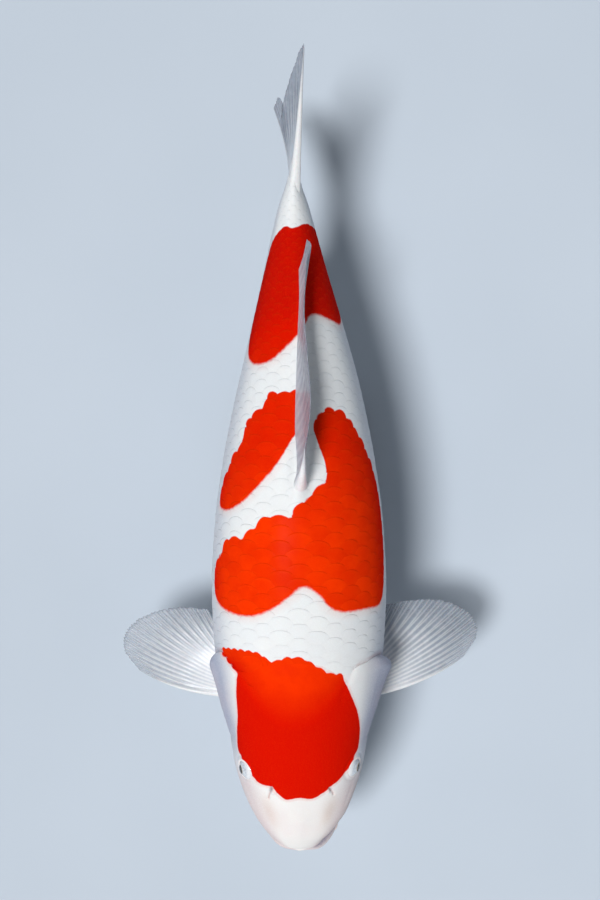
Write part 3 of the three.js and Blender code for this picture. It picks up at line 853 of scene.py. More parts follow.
def build_skin(material):
    """One skin over the head and trunk, and the fold round each eye."""
    stations, turned, smooth_body, grid = skin_grid()
    paint, red = skin_colours(stations, turned, smooth_body)
    rows, columns = stations.shape
    stalk_end = [[bend(BODY_LENGTH), BODY_LENGTH + 1, 0.0]]
    body_points = np.concatenate([grid.reshape(-1, 3), stalk_end])
    body_quads, triangles = skin_faces(body_points, rows, columns)
    points, quads = [body_points], [body_quads]
    share_along = np.broadcast_to(np.linspace(0.02, 0.98, rows)[:, None], stations.shape)
    places = [np.stack([0.5 + turned / 360, share_along], axis=-1).reshape(-1, 2), [[0.5, 0.995]]]
    for side in (1, -1):
        ring_points, ring_quads, ring_places = eye_ring(side)
        quads.append(ring_quads + sum(map(len, points)))
        points.append(ring_points)
        places.append(ring_places)

    points = np.concatenate(points)
    added = len(points) - stations.size
    ring_paint = np.tile(EYE_RING_PAINT, (added - 1, 1))
    skin = make_mesh(
        "skin", points, np.concatenate(quads),
        {"paint": np.concatenate([paint.reshape(-1, 3), [WHITE], ring_paint]),
         "red": np.append(red, np.full(added, NEVER_RED)),
         "edge": np.zeros(len(points)),
         "tone": np.zeros(len(points)),
         "warm": np.append(warmth(stations, turned), np.zeros(added))},
        np.concatenate(places), triangles)
    place_piece(skin, material, "skin", "head", "upper_lip", "lower_jaw", "gill_cover_left",
                "gill_cover_right", "trunk_front", "trunk_rear", "tail_stalk")


def circle_round(axis, steps):
    """Angles in equal steps round an axis, and at each a unit vector square to the axis."""
    helper = [0, 0, 1] if abs(axis[2]) < 0.9 else [1, 0, 0]
    across = np.cross(axis, helper)
    across /= np.linalg.norm(across)
    up = np.cross(axis, across)
    turn = np.linspace(0, 2 * np.pi, steps, endpoint=False)
    return turn, np.cos(turn)[:, None] * across + np.sin(turn)[:, None] * up


def height_on_body(foot, outward):
    """How far out from each foot, in mm, the body's surface is met; the feet are inside the body."""
    low, high = np.zeros(len(foot)), np.full(len(foot), 14.0)
    for _ in range(30):
        middle = (low + high) / 2
        inside = body_excess(foot + middle[:, None] * outward) < 0
        low, high = np.where(inside, middle, low), np.where(inside, high, middle)
    return low


def eye_ring(side):
    """The soft fold round an eye, a rounded ring on the head: points, faces and places in the map."""
    steps, sides, patch = 96, 10, 0.01
    centre, outward = eye_frame(side)
    turn, spoke = circle_round(outward, steps)
    foot = centre + spoke * EYE_RING_RADIUS
    core = foot + (height_on_body(foot, outward)[:, None] + 0.1) * outward
    around = np.linspace(0, 2 * np.pi, sides, endpoint=False)[None, :, None]
    thick = EYE_RING_THICKNESS * (1 - 0.25 * np.sin(turn))
    rounding = np.cos(around) * spoke[:, None, :] + 0.8 * np.sin(around) * outward
    points = (core[:, None, :] + thick[:, None, None] * rounding).reshape(-1, 3)
    quads = grid_quads(steps + 1, sides, closed=True) % len(points)
    spot = np.meshgrid(np.linspace(0, patch, sides), np.linspace(0, patch, steps))
    places = np.stack(spot, axis=-1).reshape(-1, 2) + [0.5 + side * 0.24, 0.003]
    return points, facing_out(points, quads), places


# ---------------------------------------------------------------- the coat of scales

# Places across a scale, and along it from root to tip.
SCALE_COLUMNS = np.linspace(-1, 1, 13)
SCALE_LINES = np.array([0, 0.25, 0.45, 0.6, 0.72, 0.82, 0.9, 0.96, 1.0])[:, None]
# The stations between which each piece of the coat has its scales' tips.
COAT_PIECES = {
    "scales_shoulder": (0, 262), "scales_middle": (262, 352), "scales_loin": (352, 452),
    "scales_stalk": (452, 548), "scales_tail_root": (548, 700),
}
BAKE_PATCH = 0.003                # width of a scale's patch in the bake map
PORE_GREY = 0.7 * COOL


def exposed_length(station):
    """Length of a scale that shows behind the one before it."""
    return (13.4 - 4.9 * smooth(330, 610, station)) * (0.76 + 0.24 * smooth(185, 235, station))


def scale_tips():
    """Row and station of the rear tip of every scale, rows alternating by half a step."""
    station = np.linspace(100, LAST_SCALE, 2000)
    steps = np.concatenate([[0], np.cumsum(np.diff(station) / exposed_length(station[1:]))])
    tips = []
    for row in range(-SCALE_ROWS // 2, SCALE_ROWS // 2):
        for place in np.arange(0.5 * (row % 2), steps[-1], 1.0):
            tip = float(np.interp(place, steps, station))
            angle = float(angle_at(np.array([tip]), np.array([row / SCALE_ROWS]))[0])
            if tip >= head_line(angle) + 3:
                tips.append((row, tip))
    return np.array(tips)


def scale_grids(tips, random):
    """Station, share of the outline and height of each scale's points, and each scale's length."""
    row, tip = tips[:, :1, None], tips[:, 1:, None]
    length = exposed_length(tip)

    def jitter(size):
        return random.uniform(-size, size, (len(tips), 1, 1))

    tip = tip + jitter(0.035) * length
    across, line = SCALE_COLUMNS, SCALE_LINES
    curve = 0.92 * (1 + jitter(0.06))
    rear = -length * curve * (1 - np.sqrt(1 - (0.965 * across) ** 2)) + jitter(0.05) * length * across
    root = -length * SCALE_LENGTH * (1 - 0.25 * across ** 2)
    along = root + line * (rear - root)
    station = tip + along
    share = (row + SCALE_SPREAD * (1 + jitter(0.03)) * across + jitter(0.03)) / SCALE_ROWS
    relief = SCALE_RELIEF * length * (0.5 + 0.5 * smooth(200, 270, tip))
    relief = relief * mix(0.58, 1.0, smooth(3.5, 8.0, np.abs(row)))
    height = relief * along / (SCALE_LENGTH * length)
    height = height - 0.22 * relief * across ** 2 + jitter(0.03)
    height = height - 0.09 * smooth(0.92, 1, line) + 0.07 * bump(0.62, 0.3, line) * (1 - across ** 2)
    on_side_line = np.abs(row) == SIDE_LINE_ROW
    height = height + 0.25 * on_side_line * bump(0, 0.14, across) * bump(0.75, 0.22, line)
    return *np.broadcast_arrays(station, share, height), length


def scale_red(tips, length, station, angle):
    """How far inside the red each point is, in edge widths, and how pink the white in front of it is.

    Along a patch's rear edge the red ends by whole scales, in round lobes.
    """
    middle = tips[:, 1:, None] - 0.45 * length
    middle_angle = angle_at(middle.ravel(), tips[:, 0] / SCALE_ROWS)[:, None, None]
    towards_snout = facing(middle, middle_angle)
    across = (angle - middle_angle) * girth(station) / 360
    lobe = np.clip(1 - (np.hypot(across, station - middle) / LOBE_RADIUS) ** 2, 0, 1) - 0.6
    rear_edge = smooth(212, 222, middle) * (1 - 0.65 * smooth(540, 565, middle))
    by_scale = smooth(0.05, 0.45, -towards_snout) * rear_edge
    depth = red_depth(station, angle)
    red = (depth + LOBE_RISE * lobe * by_scale) / edge_width(towards_snout)
    near_red = np.clip(0.9 + depth / 9, 0, 1) * smooth(0.2, 0.8, towards_snout)
    return red, 0.55 * near_red * (0.4 + 0.6 * SCALE_LINES)


def scale_paint(tips, station, angle, blush, behind_gill, tone):
    """The scales' colour where they aren't red, with pores along the lateral line, painted shade towards
    each scale's root where it goes under the scale before it, and painted pink shade in the fold behind the
    gill covers.
    """
    pore = bump(0, 0.13, SCALE_COLUMNS) * (np.abs(tips[:, :1, None]) == SIDE_LINE_ROW)
    return layered(WHITE, station.shape, [
        # Cooler towards each scale's root, where it goes under the scale before it: painted shade.
        (COOL, 0.16 * (0.5 + 0.5 * np.tanh(tone)) + 0.1 * smooth(0.5, 0.2, SCALE_LINES)),
        (LAVENDER, flank_shade(station, np.abs(angle))),
        (PINK, blush),
        # Painted pink shade in the fold behind the gill cover.
        (SHADED_PINK, 0.35 * behind_gill),
        (PORE_GREY, 0.6 * pore * bump(0.8, 0.14, SCALE_LINES)),
    ])


def sheet_faces(rows, columns):
    """Faces of two grids of points, one over the other, and of the rim that joins them."""
    top, count = grid_quads(rows, columns), rows * columns
    return np.concatenate([top, top[:, ::-1] + count, rim_quads(rows, columns, count)])


def on_both_faces(grid):
    """Values at the points of the scales' upper faces, given to their lower faces too."""
    doubled = np.stack([grid, grid], axis=1)
    return doubled.reshape(-1, grid.shape[3]) if grid.ndim == 4 else doubled.ravel()


def build_scales(material):
    """Overlapping scales over the trunk, in joined pieces from front to back."""
    random = np.random.default_rng(SEED)
    tips = scale_tips()
    station, share, height, length = scale_grids(tips, random)
    angle = angle_at(station.ravel(), share.ravel()).reshape(station.shape)
    behind_gill = bump(1.5, 2.2, station - head_line(angle)) * fold_share(angle)
    height = height - 0.9 * behind_gill + back_ridge(station, angle)
    on_body = np.clip(station, ARC_STATIONS[0], BODY_LENGTH)
    upper = surface_point(on_body, angle, height)
    lower = surface_point(on_body, angle, height - SCALE_THICKNESS)

    red, blush = scale_red(tips, length, station, angle)
    tone = np.broadcast_to(random.normal(0, 1, (len(tips), 1, 1)), station.shape)
    values = {
        "paint": scale_paint(tips, station, angle, blush, behind_gill, tone),
        "red": red,
        "edge": np.broadcast_to(smooth(0.86, 1.0, SCALE_LINES), station.shape),
        "tone": tone,
        "warm": warmth(station, angle),
    }
    root_share = 0.5 + tips[:, :1, None] / SCALE_ROWS
    root_place = (tips[:, 1:, None] - SCALE_LENGTH * length) / BODY_LENGTH
    places = np.stack(np.broadcast_arrays(
        root_share + BAKE_PATCH / 2 * SCALE_COLUMNS,
        root_place + BAKE_PATCH * (SCALE_LINES - 0.5)), axis=-1)

    first_scale = np.concatenate([upper[0], lower[0]]).reshape(-1, 3)
    faces = facing_out(first_scale, sheet_faces(len(SCALE_LINES), len(SCALE_COLUMNS)))
    for name, (start, end) in COAT_PIECES.items():
        chosen = (tips[:, 1] >= start) & (tips[:, 1] < end)
        points = np.stack([upper[chosen], lower[chosen]], axis=1).reshape(-1, 3)
        first_points = np.arange(chosen.sum())[:, None, None] * len(first_scale)
        data = {key: on_both_faces(grid[chosen]) for key, grid in values.items()}
        piece = make_mesh(name, points, (faces + first_points).reshape(-1, 4), data,
                          on_both_faces(places[chosen]))
        place_piece(piece, material, "scaled_skin")


# ---------------------------------------------------------------- fins

# Root and margin rows are (x, station, z) from the leading ray to the last one. Each ray bows at
# its middle, and the bow fades towards the last ray. "thick" is the root's thickness, of which the
# share "slim" is lost by the last ray, and "lead" is the leading edge's thickness at the root, in
# mm. "web" is the membrane's colour near the body and at the margin, "solid" how little light it
# lets through at its middle and at the margin, "bone" the whiteness of the rays, "base" the colour
# at the root, and "edge" how far the leading edge's white spreads.
FINS = {
    "dorsal_fin": {
        "root": [[0, 338, 86], [0.3, 400, 82], [1.7, 470, 67], [4.2, 540, 47]],
        "margin": [[5, 380, 141], [9, 402, 137], [9.3, 434, 123], [7, 470, 108], [6.5, 510, 95],
                   [10.6, 545, 84.5], [14.6, 560, 79], [10.6, 566, 70]],
        "bow": [0, -5, 4], "rays": 19, "thick": 15.0, "slim": 0.6, "lead": 13.0,
        "web": ((0.37, 0.37, 0.43), (0.22, 0.23, 0.28)), "solid": (1.0, 0.94),
        "bone": 0.3, "base": (0.50, 0.50, 0.56), "edge": 1.3,
    },
    "anal_fin": {
        "root": [[0, 488, -57], [0, 514, -49], [0, 538, -41]],
        "margin": [[-2, 552, -116], [-3, 562, -112], [-3, 569, -94], [-3, 573, -76],
                   [-3, 572, -64]],
        "bow": [0, -3, -3], "rays": 7, "thick": 6.0, "slim": 0.4, "lead": 6.0,
        "web": ((0.70, 0.72, 0.76), (0.36, 0.39, 0.45)), "solid": (0.85, 0.55),
        "bone": 0.7, "base": (0.80, 0.80, 0.79), "edge": 2.4,
    },
    "tail_fin_upper": {
        "root": [[0, 598, 31], [0.3, 628, 24], [0, 628, 12], [0, 628, -0.5]],
        "margin": [[9.5, 735, 80], [8.5, 738, 72], [2.5, 729, 54], [-4.5, 713, 36], [-10, 696, 18],
                   [-11.5, 681, -0.5]],
        "bow": [0, -3, -4], "rays": 10, "thick": 9.0, "slim": 0.0, "lead": 10.5,
        "web": ((0.50, 0.54, 0.60), (0.24, 0.27, 0.33)), "solid": (0.78, 0.55),
        "bone": 0.4, "base": (0.80, 0.80, 0.79), "edge": 1.5,
    },
    "tail_fin_lower": {
        "root": [[-1, 604, -34], [0, 628, -23], [0, 628, -12], [0, 628, 0.5]],
        "margin": [[-20, 716, -78], [-16.5, 723, -68], [-13, 719, -51], [-11.5, 709, -34],
                   [-11.5, 695, -15], [-11.5, 681, 0.5]],
        "bow": [6, -3, 4], "rays": 10, "thick": 8.5, "slim": 0.0, "lead": 8.0,
        "web": ((0.50, 0.54, 0.60), (0.24, 0.27, 0.33)), "solid": (0.78, 0.55),
        "bone": 0.4, "base": (0.80, 0.80, 0.79), "edge": 1.5,
    },
    "pectoral_fin": {
        "root": [[56, 137, -62], [60, 150, -58], [62, 163, -55], [62, 174, -53]],
        "margin": [[158, 170, -66], [172, 191, -67], [169, 208, -65], [156, 220, -63],
                   [133, 228, -61], [104, 229, -59], [84, 226, -57]],
        "bow": [4, -6, 3], "rays": 17, "thick": 7.0, "slim": 0.3, "lead": 7.0,
        "web": ((0.58, 0.61, 0.66), (0.28, 0.32, 0.38)), "solid": (0.88, 0.42),
        "bone": 0.9, "base": (0.82, 0.82, 0.81), "edge": 2.4,
    },
    "pelvic_fin": {
        "root": [[36, 316, -82], [30, 326, -84], [22, 334, -86]],
        "margin": [[62, 382, -118], [62, 398, -119], [50, 406, -117], [35, 402, -113],
                   [26, 390, -109]],
        "bow": [5, -2, -2], "rays": 9, "thick": 5.0, "slim": 0.3, "lead": 5.5,
        "web": ((0.66, 0.69, 0.73), (0.34, 0.37, 0.43)), "solid": (0.85, 0.50),
        "bone": 0.8, "base": (0.80, 0.80, 0.79), "edge": 2.4,
    },
}
PECTORAL_HINGE = (60.0, 158.0)
PECTORAL_POSE = {1: (4.0, 1.04), -1: (-4.0, 0.97)}     # degrees of sweep, and spread, by side
WEB_THICKNESS = 0.5
RAY_RELIEF = 0.5
SAMPLES_PER_RAY = 14
SAMPLES_ALONG = 56


def swept(rows, side):
    """Root or margin of a pectoral fin, turned about its hinge."""
    degrees, spread = PECTORAL_POSE[side]
    turn = math.radians(degrees)
    rows = np.array(rows, float)
    out = (rows[:, 0] - PECTORAL_HINGE[0]) * spread
    back = rows[:, 1] - PECTORAL_HINGE[1]
    rows[:, 0] = PECTORAL_HINGE[0] + out * math.cos(turn) - back * math.sin(turn)
    rows[:, 1] = PECTORAL_HINGE[1] + out * math.sin(turn) + back * math.cos(turn)
    return rows


def row_curve(rows, side):
    """A centripetal Catmull-Rom curve through rows, as a function of 0 to 1."""
    rows = np.array(rows, float) * [side, 1, 1]
    rows[:, 0] += bend(rows[:, 1])
    ends = np.concatenate([[2 * rows[0] - rows[1]], rows, [2 * rows[-1] - rows[-2]]])

    def at(t):
        t = np.clip(np.asarray(t, float), 0, 1)
        place = t * (len(rows) - 1)
        i = np.clip(place.astype(int), 0, len(rows) - 2)
        p0, p1, p2, p3 = (ends[i + k] for k in range(4))
        knot = [np.maximum(np.linalg.norm(b - a, axis=-1), 1e-4) ** 0.5
                for a, b in ((p0, p1), (p1, p2), (p2, p3))]
        d0, d1, d2 = (k[..., None] for k in knot)
        leave = ((p1 - p0) / d0 - (p2 - p0) / (d0 + d1) + (p2 - p1) / d1) * d1
        arrive = ((p2 - p1) / d1 - (p3 - p1) / (d1 + d2) + (p3 - p2) / d2) * d1
        u = (place - i)[..., None]
        return (p1 + leave * u + (3 * (p2 - p1) - 2 * leave - arrive) * u ** 2
                + (2 * (p1 - p2) + leave + arrive) * u ** 3)

    return at


def ray_relief(along, ray, count):
    """Height of the branching rays, 0 in the web to 1 on a ray."""
    within = np.abs((ray * count) % 1 - 0.5)
    from_branch = np.abs(within - 0.21 * smooth(0.42, 0.95, along))
    return bump(0, mix(0.29, 0.13, np.clip(along * 1.1, 0, 1)), from_branch)


def rounded(distance, half):
    """Rounds a sheet's border: 0 at the border to 1 where its full half thickness is reached."""
    inward = np.clip(distance / (1.2 * half), 0.02, 1)
    return np.sqrt(1 - (1 - inward) ** 2)


def travelled(points, axis):
    """Distance along a grid of points from its first row or column."""
    steps = np.linalg.norm(np.diff(points, axis=axis), axis=-1)
    zero = np.zeros_like(np.take(steps, [0], axis=axis))
    return np.concatenate([zero, np.cumsum(steps, axis=axis)], axis=axis)


def fin_sheet(name, side, ray, along, random):
    """The middle of a fin's web, with an uneven margin and a few waves, and its unit normals."""
    fin = FINS[name]
    root_rows, margin_rows = fin["root"], fin["margin"]
    if name == "pectoral_fin":
        root_rows, margin_rows = swept(root_rows, side), swept(margin_rows, side)
    tooth = np.convolve(random.uniform(-1, 1, ray.shape[1]), np.ones(9) / 9, mode="same")
    at_margin = ray_relief(np.ones_like(ray), ray, fin["rays"])
    reach = 1 + smooth(0.02, 0.1, ray) * (0.010 * (at_margin - 0.5) + 0.016 * tooth[None])
    share = (along * reach)[..., None]
    bulge = 4 * share * (1 - share) * (1 - ray[..., None])
    bow = np.array(fin["bow"], float) * [side, 1, 1]
    points = mix(row_curve(root_rows, side)(ray), row_curve(margin_rows, side)(ray), share) + bow * bulge
    normal = np.cross(np.gradient(points, axis=0), np.gradient(points, axis=1))
    normal /= np.maximum(np.linalg.norm(normal, axis=-1, keepdims=True), 1e-9)
    waves = sum(random.uniform(0.3, 1) * np.sin(ray * turns + random.uniform(0, 6.3))
                for turns in (9, 17, 31))
    ripple = 0.32 * waves * smooth(0.3, 1, along) * smooth(0, 0.15, ray)
    return points + normal * ripple[..., None], normal


def fin_thickness(fin, points, ray, along, relief):
    """Half the fin's thickness at each point, and how much of its leading edge a point is."""
    from_lead, from_root = travelled(points, 1), travelled(points, 0)
    to_last, to_margin = from_lead[:, -1:] - from_lead, from_root[-1:] - from_root
    lead_half = fin["lead"] / 2 * (1 - along) ** 1.2 + 0.45
    lead = lead_half * bump(0, 1.8 * lead_half, np.maximum(from_lead - 1.2 * lead_half, 0))
    flesh = np.clip(1 - 1.7 * along, 0, 1) ** 1.4
    root = fin["thick"] / 2 * (1 - fin["slim"] * ray) * flesh
    web = WEB_THICKNESS / 2 + RAY_RELIEF * relief * (1 - 0.5 * along) * (1 - 0.6 * flesh)
    half = (lead ** 4 + root ** 4 + web ** 4) ** 0.25
    half = half * rounded(from_lead, half) * rounded(to_last, half) * rounded(to_margin, half)
    leading = bump(0, fin["edge"] * lead_half, from_lead) * (1 - 0.6 * smooth(0.6, 1, along))
    return half, leading


def fin_paint(fin, spine, ray, along, relief, leading):
    """The web's colour, whiter on the rays, at the root and along the leading edge; on the dorsal fin the
    leading edge is painted whiter still, as painted light.
    """
    near, far = fin["web"]
    ray_width = relief ** mix(0.45, 1.5, smooth(0.1, 0.8, along))
    base = layered(WHITE, ray.shape, [(np.array(fin["base"]), smooth(0.04, 0.2, ray))])
    return layered(np.array(near), ray.shape, [
        (np.array(far), smooth(0.12, 0.8, along)),
        (WHITE, fin["bone"] * ray_width * (1 - 0.7 * along)),
        (base, 1 - smooth(0.02, 0.22, along)),
        (spine, 0.9 * leading),
    ])


def fin_solid(fin, along, relief, leading):
    """How little light the fin lets through: 0 is clear and 1 is solid."""
    middle, margin = fin["solid"]
    clear = (1 - middle) * smooth(0.15, 0.55, along) + (middle - margin) * smooth(0.5, 0.95, along)
    return np.clip(1 - clear + 0.16 * relief + 0.6 * leading, 0, 1)


def build_fin(name, node, material, side=1):
    """A thin web over branching rays, thick and fleshy at the root and the leading edge."""
    fin = FINS[name]
    random = np.random.default_rng(SEED + sum(map(ord, node)))
    columns, rows = fin["rays"] * SAMPLES_PER_RAY + 1, SAMPLES_ALONG
    ray, along = np.meshgrid(np.linspace(0, 1, columns), np.linspace(0, 1, rows))
    points, normal = fin_sheet(name, side, ray, along, random)
    relief = ray_relief(along, ray, fin["rays"])
    half, leading = fin_thickness(fin, points, ray, along, relief)
    raised = normal * half[..., None]
    both = np.stack([points + raised, points - raised]).reshape(-1, 3)
    # the dorsal fin's leading edge gets the brighter white of painted light
    spine = SPINE_PAINTED_LIGHT if name == "dorsal_fin" else WHITE
    paint = fin_paint(fin, spine, ray, along, relief, leading)
    solid = fin_solid(fin, along, relief, leading)
    piece = make_mesh(node + "_web", both, facing_out(both, sheet_faces(rows, columns)),
                      {"paint": np.tile(paint.reshape(-1, 3), (2, 1)), "solid": np.tile(solid.ravel(), 2)})
    place_piece(piece, material, "fin_web", node)


# ---------------------------------------------------------------- eyes and barbels

def lathe(name, profile, centre, axis, steps, attributes=None):
    """A surface turned round an axis: profile rows are (radius, distance along the axis)."""
    axis = np.asarray(axis, float) / np.linalg.norm(axis)
    _, spoke = circle_round(axis, steps)
    radius, along = np.asarray(profile, float).T[:, :, None, None]
    points = (np.asarray(centre, float) + along * axis + radius * spoke).reshape(-1, 3)
    quads = facing_out(points, grid_quads(len(profile), steps, closed=True))
    values = {key: np.repeat(value, steps) for key, value in (attributes or {}).items()}
    return make_mesh(name, points, quads, values)


def build_eye(side, word, ball_material, cornea_material):
    """An eyeball that looks sideways: an iris round a bulging lens, under a clear, wet cornea."""
    centre, _ = eye_frame(side)
    looks = np.array(EYE_LOOK) * [side, 1, 1]
    degrees = np.concatenate([
        [0.4], np.arange(2, 20, 1.5), [20.2, 21.0, 21.8, 23.0], np.arange(25, 64, 2),
        np.arange(66, 176, 6), [179.6]])
    turn = np.radians(degrees)
    lens = 0.5 * (1 - smooth(20.2, 21.8, degrees))
    iris_hollow = 0.6 * (1 - smooth(40, 60, degrees))
    radius = EYE["radius"] - 0.25 - iris_hollow + lens
    ball_profile = np.stack([radius * np.sin(turn), radius * np.cos(turn)], axis=1)
    ball = lathe("eyeball_" + word, ball_profile, centre, looks, 72, {"polar": degrees})
    place_piece(ball, ball_material, "eye", "eye_" + word)
    dome = np.radians(np.concatenate([[0.4], np.arange(3, 71, 3)]))
    dome_profile = EYE["radius"] * np.stack([np.sin(dome), np.cos(dome)], axis=1)
    place_piece(lathe("cornea_" + word, dome_profile, centre, looks, 72), cornea_material, "eye")


# Each barbel's course as (station, angle, height over the lip), and its radius at the root.
LIP_BARBEL = ([[16, 105, -3], [17.5, 108, 0.4], [21, 114, 1.6], [26, 121, 2.8], [32, 129, 3.6]], 1.4)
CORNER_BARBEL = ([[31, 112, -3], [33, 115, 2.5], [40, 121, 6], [49, 128, 8], [58, 136, 8.5]], 2.4)
BARBEL_TIP = 0.5
BARBEL_STEPS = 40
BARBEL_SIDES = 16


def build_barbel(node, rows, radius, side, material):
    """A soft feeler that tapers and bends back from the lip."""
    station, angle, height = np.array(rows, float).T
    lip = np.maximum(mouth_relief(surface_point(station, side * angle)), 0)
    path = surface_point(station, side * angle, lip + height)
    path[:, 0] -= bend(path[:, 1])
    t = np.linspace(0, 1, BARBEL_STEPS)
    centre = row_curve(path, 1)(t)
    tangent = np.gradient(centre, axis=0)
    tangent /= np.linalg.norm(tangent, axis=1, keepdims=True)
    across = np.cross(tangent, [1.0, 0.2, 0])
    across /= np.linalg.norm(across, axis=1, keepdims=True)
    up = np.cross(tangent, across)
    turn = np.linspace(0, 2 * np.pi, BARBEL_SIDES, endpoint=False)[None, :, None]
    round_tip = np.sqrt(np.clip((1 - t) * 24, 0.02, 1))
    thick = mix(radius * 1.15, BARBEL_TIP, t ** 0.85) * round_tip * (1 + 0.03 * np.sin(t * 60))
    spoke = np.cos(turn) * across[:, None] + np.sin(turn) * up[:, None]
    points = (centre[:, None] + thick[:, None, None] * spoke).reshape(-1, 3)
    quads = facing_out(points, grid_quads(BARBEL_STEPS, BARBEL_SIDES, closed=True))
    tint = mix(0.45, 0.15, np.repeat(t, BARBEL_SIDES))
    zeros = np.zeros(len(points))
    piece = make_mesh(node + "_skin", points, quads,
                      {"paint": layered(CREAM, tint.shape, [(PINK, tint)]), "red": zeros + NEVER_RED,
                       "warm": zeros, "edge": zeros, "tone": zeros})
    place_piece(piece, material, "mouth", node)


# ---------------------------------------------------------------- the stand

STAND = {                         # mm
    "half_length": 150.0, "half_width": 64.0, "thickness": 16.0, "edge": 2.0, "rod_radius": 5.0,
    "flange_radius": 13.0, "flange_height": 4.0, "cup_radius": 10.0, "cup_height": 12.0,
}
ROD_STATIONS = {"stand_rod_front": 214.0, "stand_rod_rear": 392.0}
STAND_GAP = 0.3


def build_base(material):
    """The oval base plate, as rings from the middle of its underside over its rounded edges."""
    half_width, thickness = STAND["half_width"], STAND["thickness"]
    corner = 0.6 * half_width
    straight = STAND["half_length"] - corner
    quarter = np.radians(np.linspace(0, 90, 7))
    shrinking = STAND["edge"] * (1 - np.sin(quarter))
    growing = STAND["edge"] * (1 - np.cos(quarter))
    flat = np.array([half_width - 0.1, 30.0, 10.0])
    inset = np.concatenate([flat, shrinking, growing, flat[::-1]])
    level = np.concatenate([np.zeros(3), growing, thickness - shrinking, np.full(3, thickness)])
    turn = np.linspace(0, 2 * np.pi, 160, endpoint=False)
    rings = []
    for step, height in zip(inset, level):
        x = (half_width - step) * np.cos(turn)
        end = straight - max(step - corner, 0)
        y = max(corner - step, 1.0) * np.sin(turn) + np.sign(np.sin(turn)) * end
        rings.append(np.stack([x, y + BALANCE_STATION, np.full_like(x, height - AXIS_HEIGHT)], axis=1))
    points = np.concatenate(rings)
    quads = facing_out(points, grid_quads(len(rings), len(turn), closed=True))
    place_piece(make_mesh("stand_base_wood", points, quads), material, "stand_wood", "stand_base")


def build_rod(node, station, material):
    """One turned rod: a flange on the base, a slim shaft and a cup under the belly."""
    foot = STAND["thickness"] + STAND_GAP - AXIS_HEIGHT
    belly = float(belly_height(station))
    shaft, flange, tall = STAND["rod_radius"], STAND["flange_radius"], STAND["flange_height"]
    cup, cup_tall = STAND["cup_radius"], STAND["cup_height"]
    profile = [
        (0.1, foot), (flange - 0.3, foot), (flange, foot + 0.3), (flange, foot + tall - 1.2),
        (flange - 0.35, foot + tall - 0.4), (flange - 1.2, foot + tall), (shaft + 2.5, foot + tall + 0.3),
        (shaft + 1.0, foot + tall + 1.2), (shaft, foot + tall + 3), (shaft, belly - cup_tall - 1),
        (shaft + 0.3, belly - cup_tall), (cup - 0.6, belly - 4.0), (cup, belly - 2.6), (cup, belly + 3),
        (0.1, belly + 3),
    ]
    rod = lathe(node + "_steel", profile, (0, station, 0), (0, 0, 1), 64)
    place_piece(rod, material, "stand_steel", node)


# ---------------------------------------------------------------- materials

class Nodes:
    """A material's node tree, with short ways to add and join nodes."""

    def __init__(self, name):
        self.material = bpy.data.materials.new(name)
        self.material.use_nodes = True
        self.tree = self.material.node_tree
        self.shader = self.tree.nodes["Principled BSDF"]

    def add(self, kind, **settings):
        node = self.tree.nodes.new(kind)
        for key, value in settings.items():
            setattr(node, key, value)
        return node

    def link(self, source, target):
        self.tree.links.new(source, target)

    def attribute(self, name, vector=False):
        node = self.add("ShaderNodeAttribute", attribute_name=name)
        return node.outputs["Vector" if vector else "Fac"]

    def place(self, scale=(1, 1, 1)):
        mapping = self.add("ShaderNodeMapping")
        mapping.inputs["Scale"].default_value = scale
        self.link(self.add("ShaderNodeTexCoord").outputs["Object"], mapping.inputs["Vector"])
        return mapping.outputs["Vector"]

    def noise(self, scale, detail=3.0, stretch=(1, 1, 1)):
        node = self.add("ShaderNodeTexNoise")
        node.inputs["Scale"].default_value = scale
        node.inputs["Detail"].default_value = detail
        self.link(self.place(stretch), node.inputs["Vector"])
        return node.outputs["Fac"]

    def cells(self, scale, stretch=(1, 1, 1)):
        node = self.add("ShaderNodeTexVoronoi")
        node.inputs["Scale"].default_value = scale
        self.link(self.place(stretch), node.inputs["Vector"])
        return node.outputs["Distance"]

    def fit(self, value, low, high, to_low=0.0, to_high=1.0, soft=True):
        node = self.add("ShaderNodeMapRange", interpolation_type="SMOOTHSTEP" if soft else "LINEAR")
        self.link(value, node.inputs["Value"])
        for key, number in (("From Min", low), ("From Max", high), ("To Min", to_low), ("To Max", to_high)):
            node.inputs[key].default_value = number
        return node.outputs["Result"]

    def maths(self, operation, a, b):
        node = self.add("ShaderNodeMath", operation=operation)
        for socket, value in zip(node.inputs, (a, b)):
            if isinstance(value, (int, float)):
                socket.default_value = value
            else:
                self.link(value, socket)
        return node.outputs[0]

    def mix(self, share, a, b, kind="MIX"):
        node = self.add("ShaderNodeMix", data_type="RGBA", blend_type=kind)
        if isinstance(share, (int, float)):
            node.inputs[0].default_value = share
        else:
            self.link(share, node.inputs[0])
        for socket, value in zip((node.inputs[6], node.inputs[7]), (a, b)):
            if isinstance(value, tuple):
                socket.default_value = (*value, 1)
            else:
                self.link(value, socket)
        return node.outputs[2]

    def bump(self, height, distance, strength=1.0, below=None):
        node = self.add("ShaderNodeBump")
        node.inputs["Strength"].default_value = strength
        node.inputs["Distance"].default_value = distance
        self.link(height, node.inputs["Height"])
        if below is not None:
            self.link(below, node.inputs["Normal"])
        return node.outputs["Normal"]

    def drive(self, socket, source):
        """Lets a node's output set one of the shader's inputs."""
        self.link(source, self.shader.inputs[socket])

    def set(self, **values):
        """Sets the shader's inputs to plain values, named with _ for each space."""
        for key, value in values.items():
            self.shader.inputs[key.replace("_", " ")].default_value = value


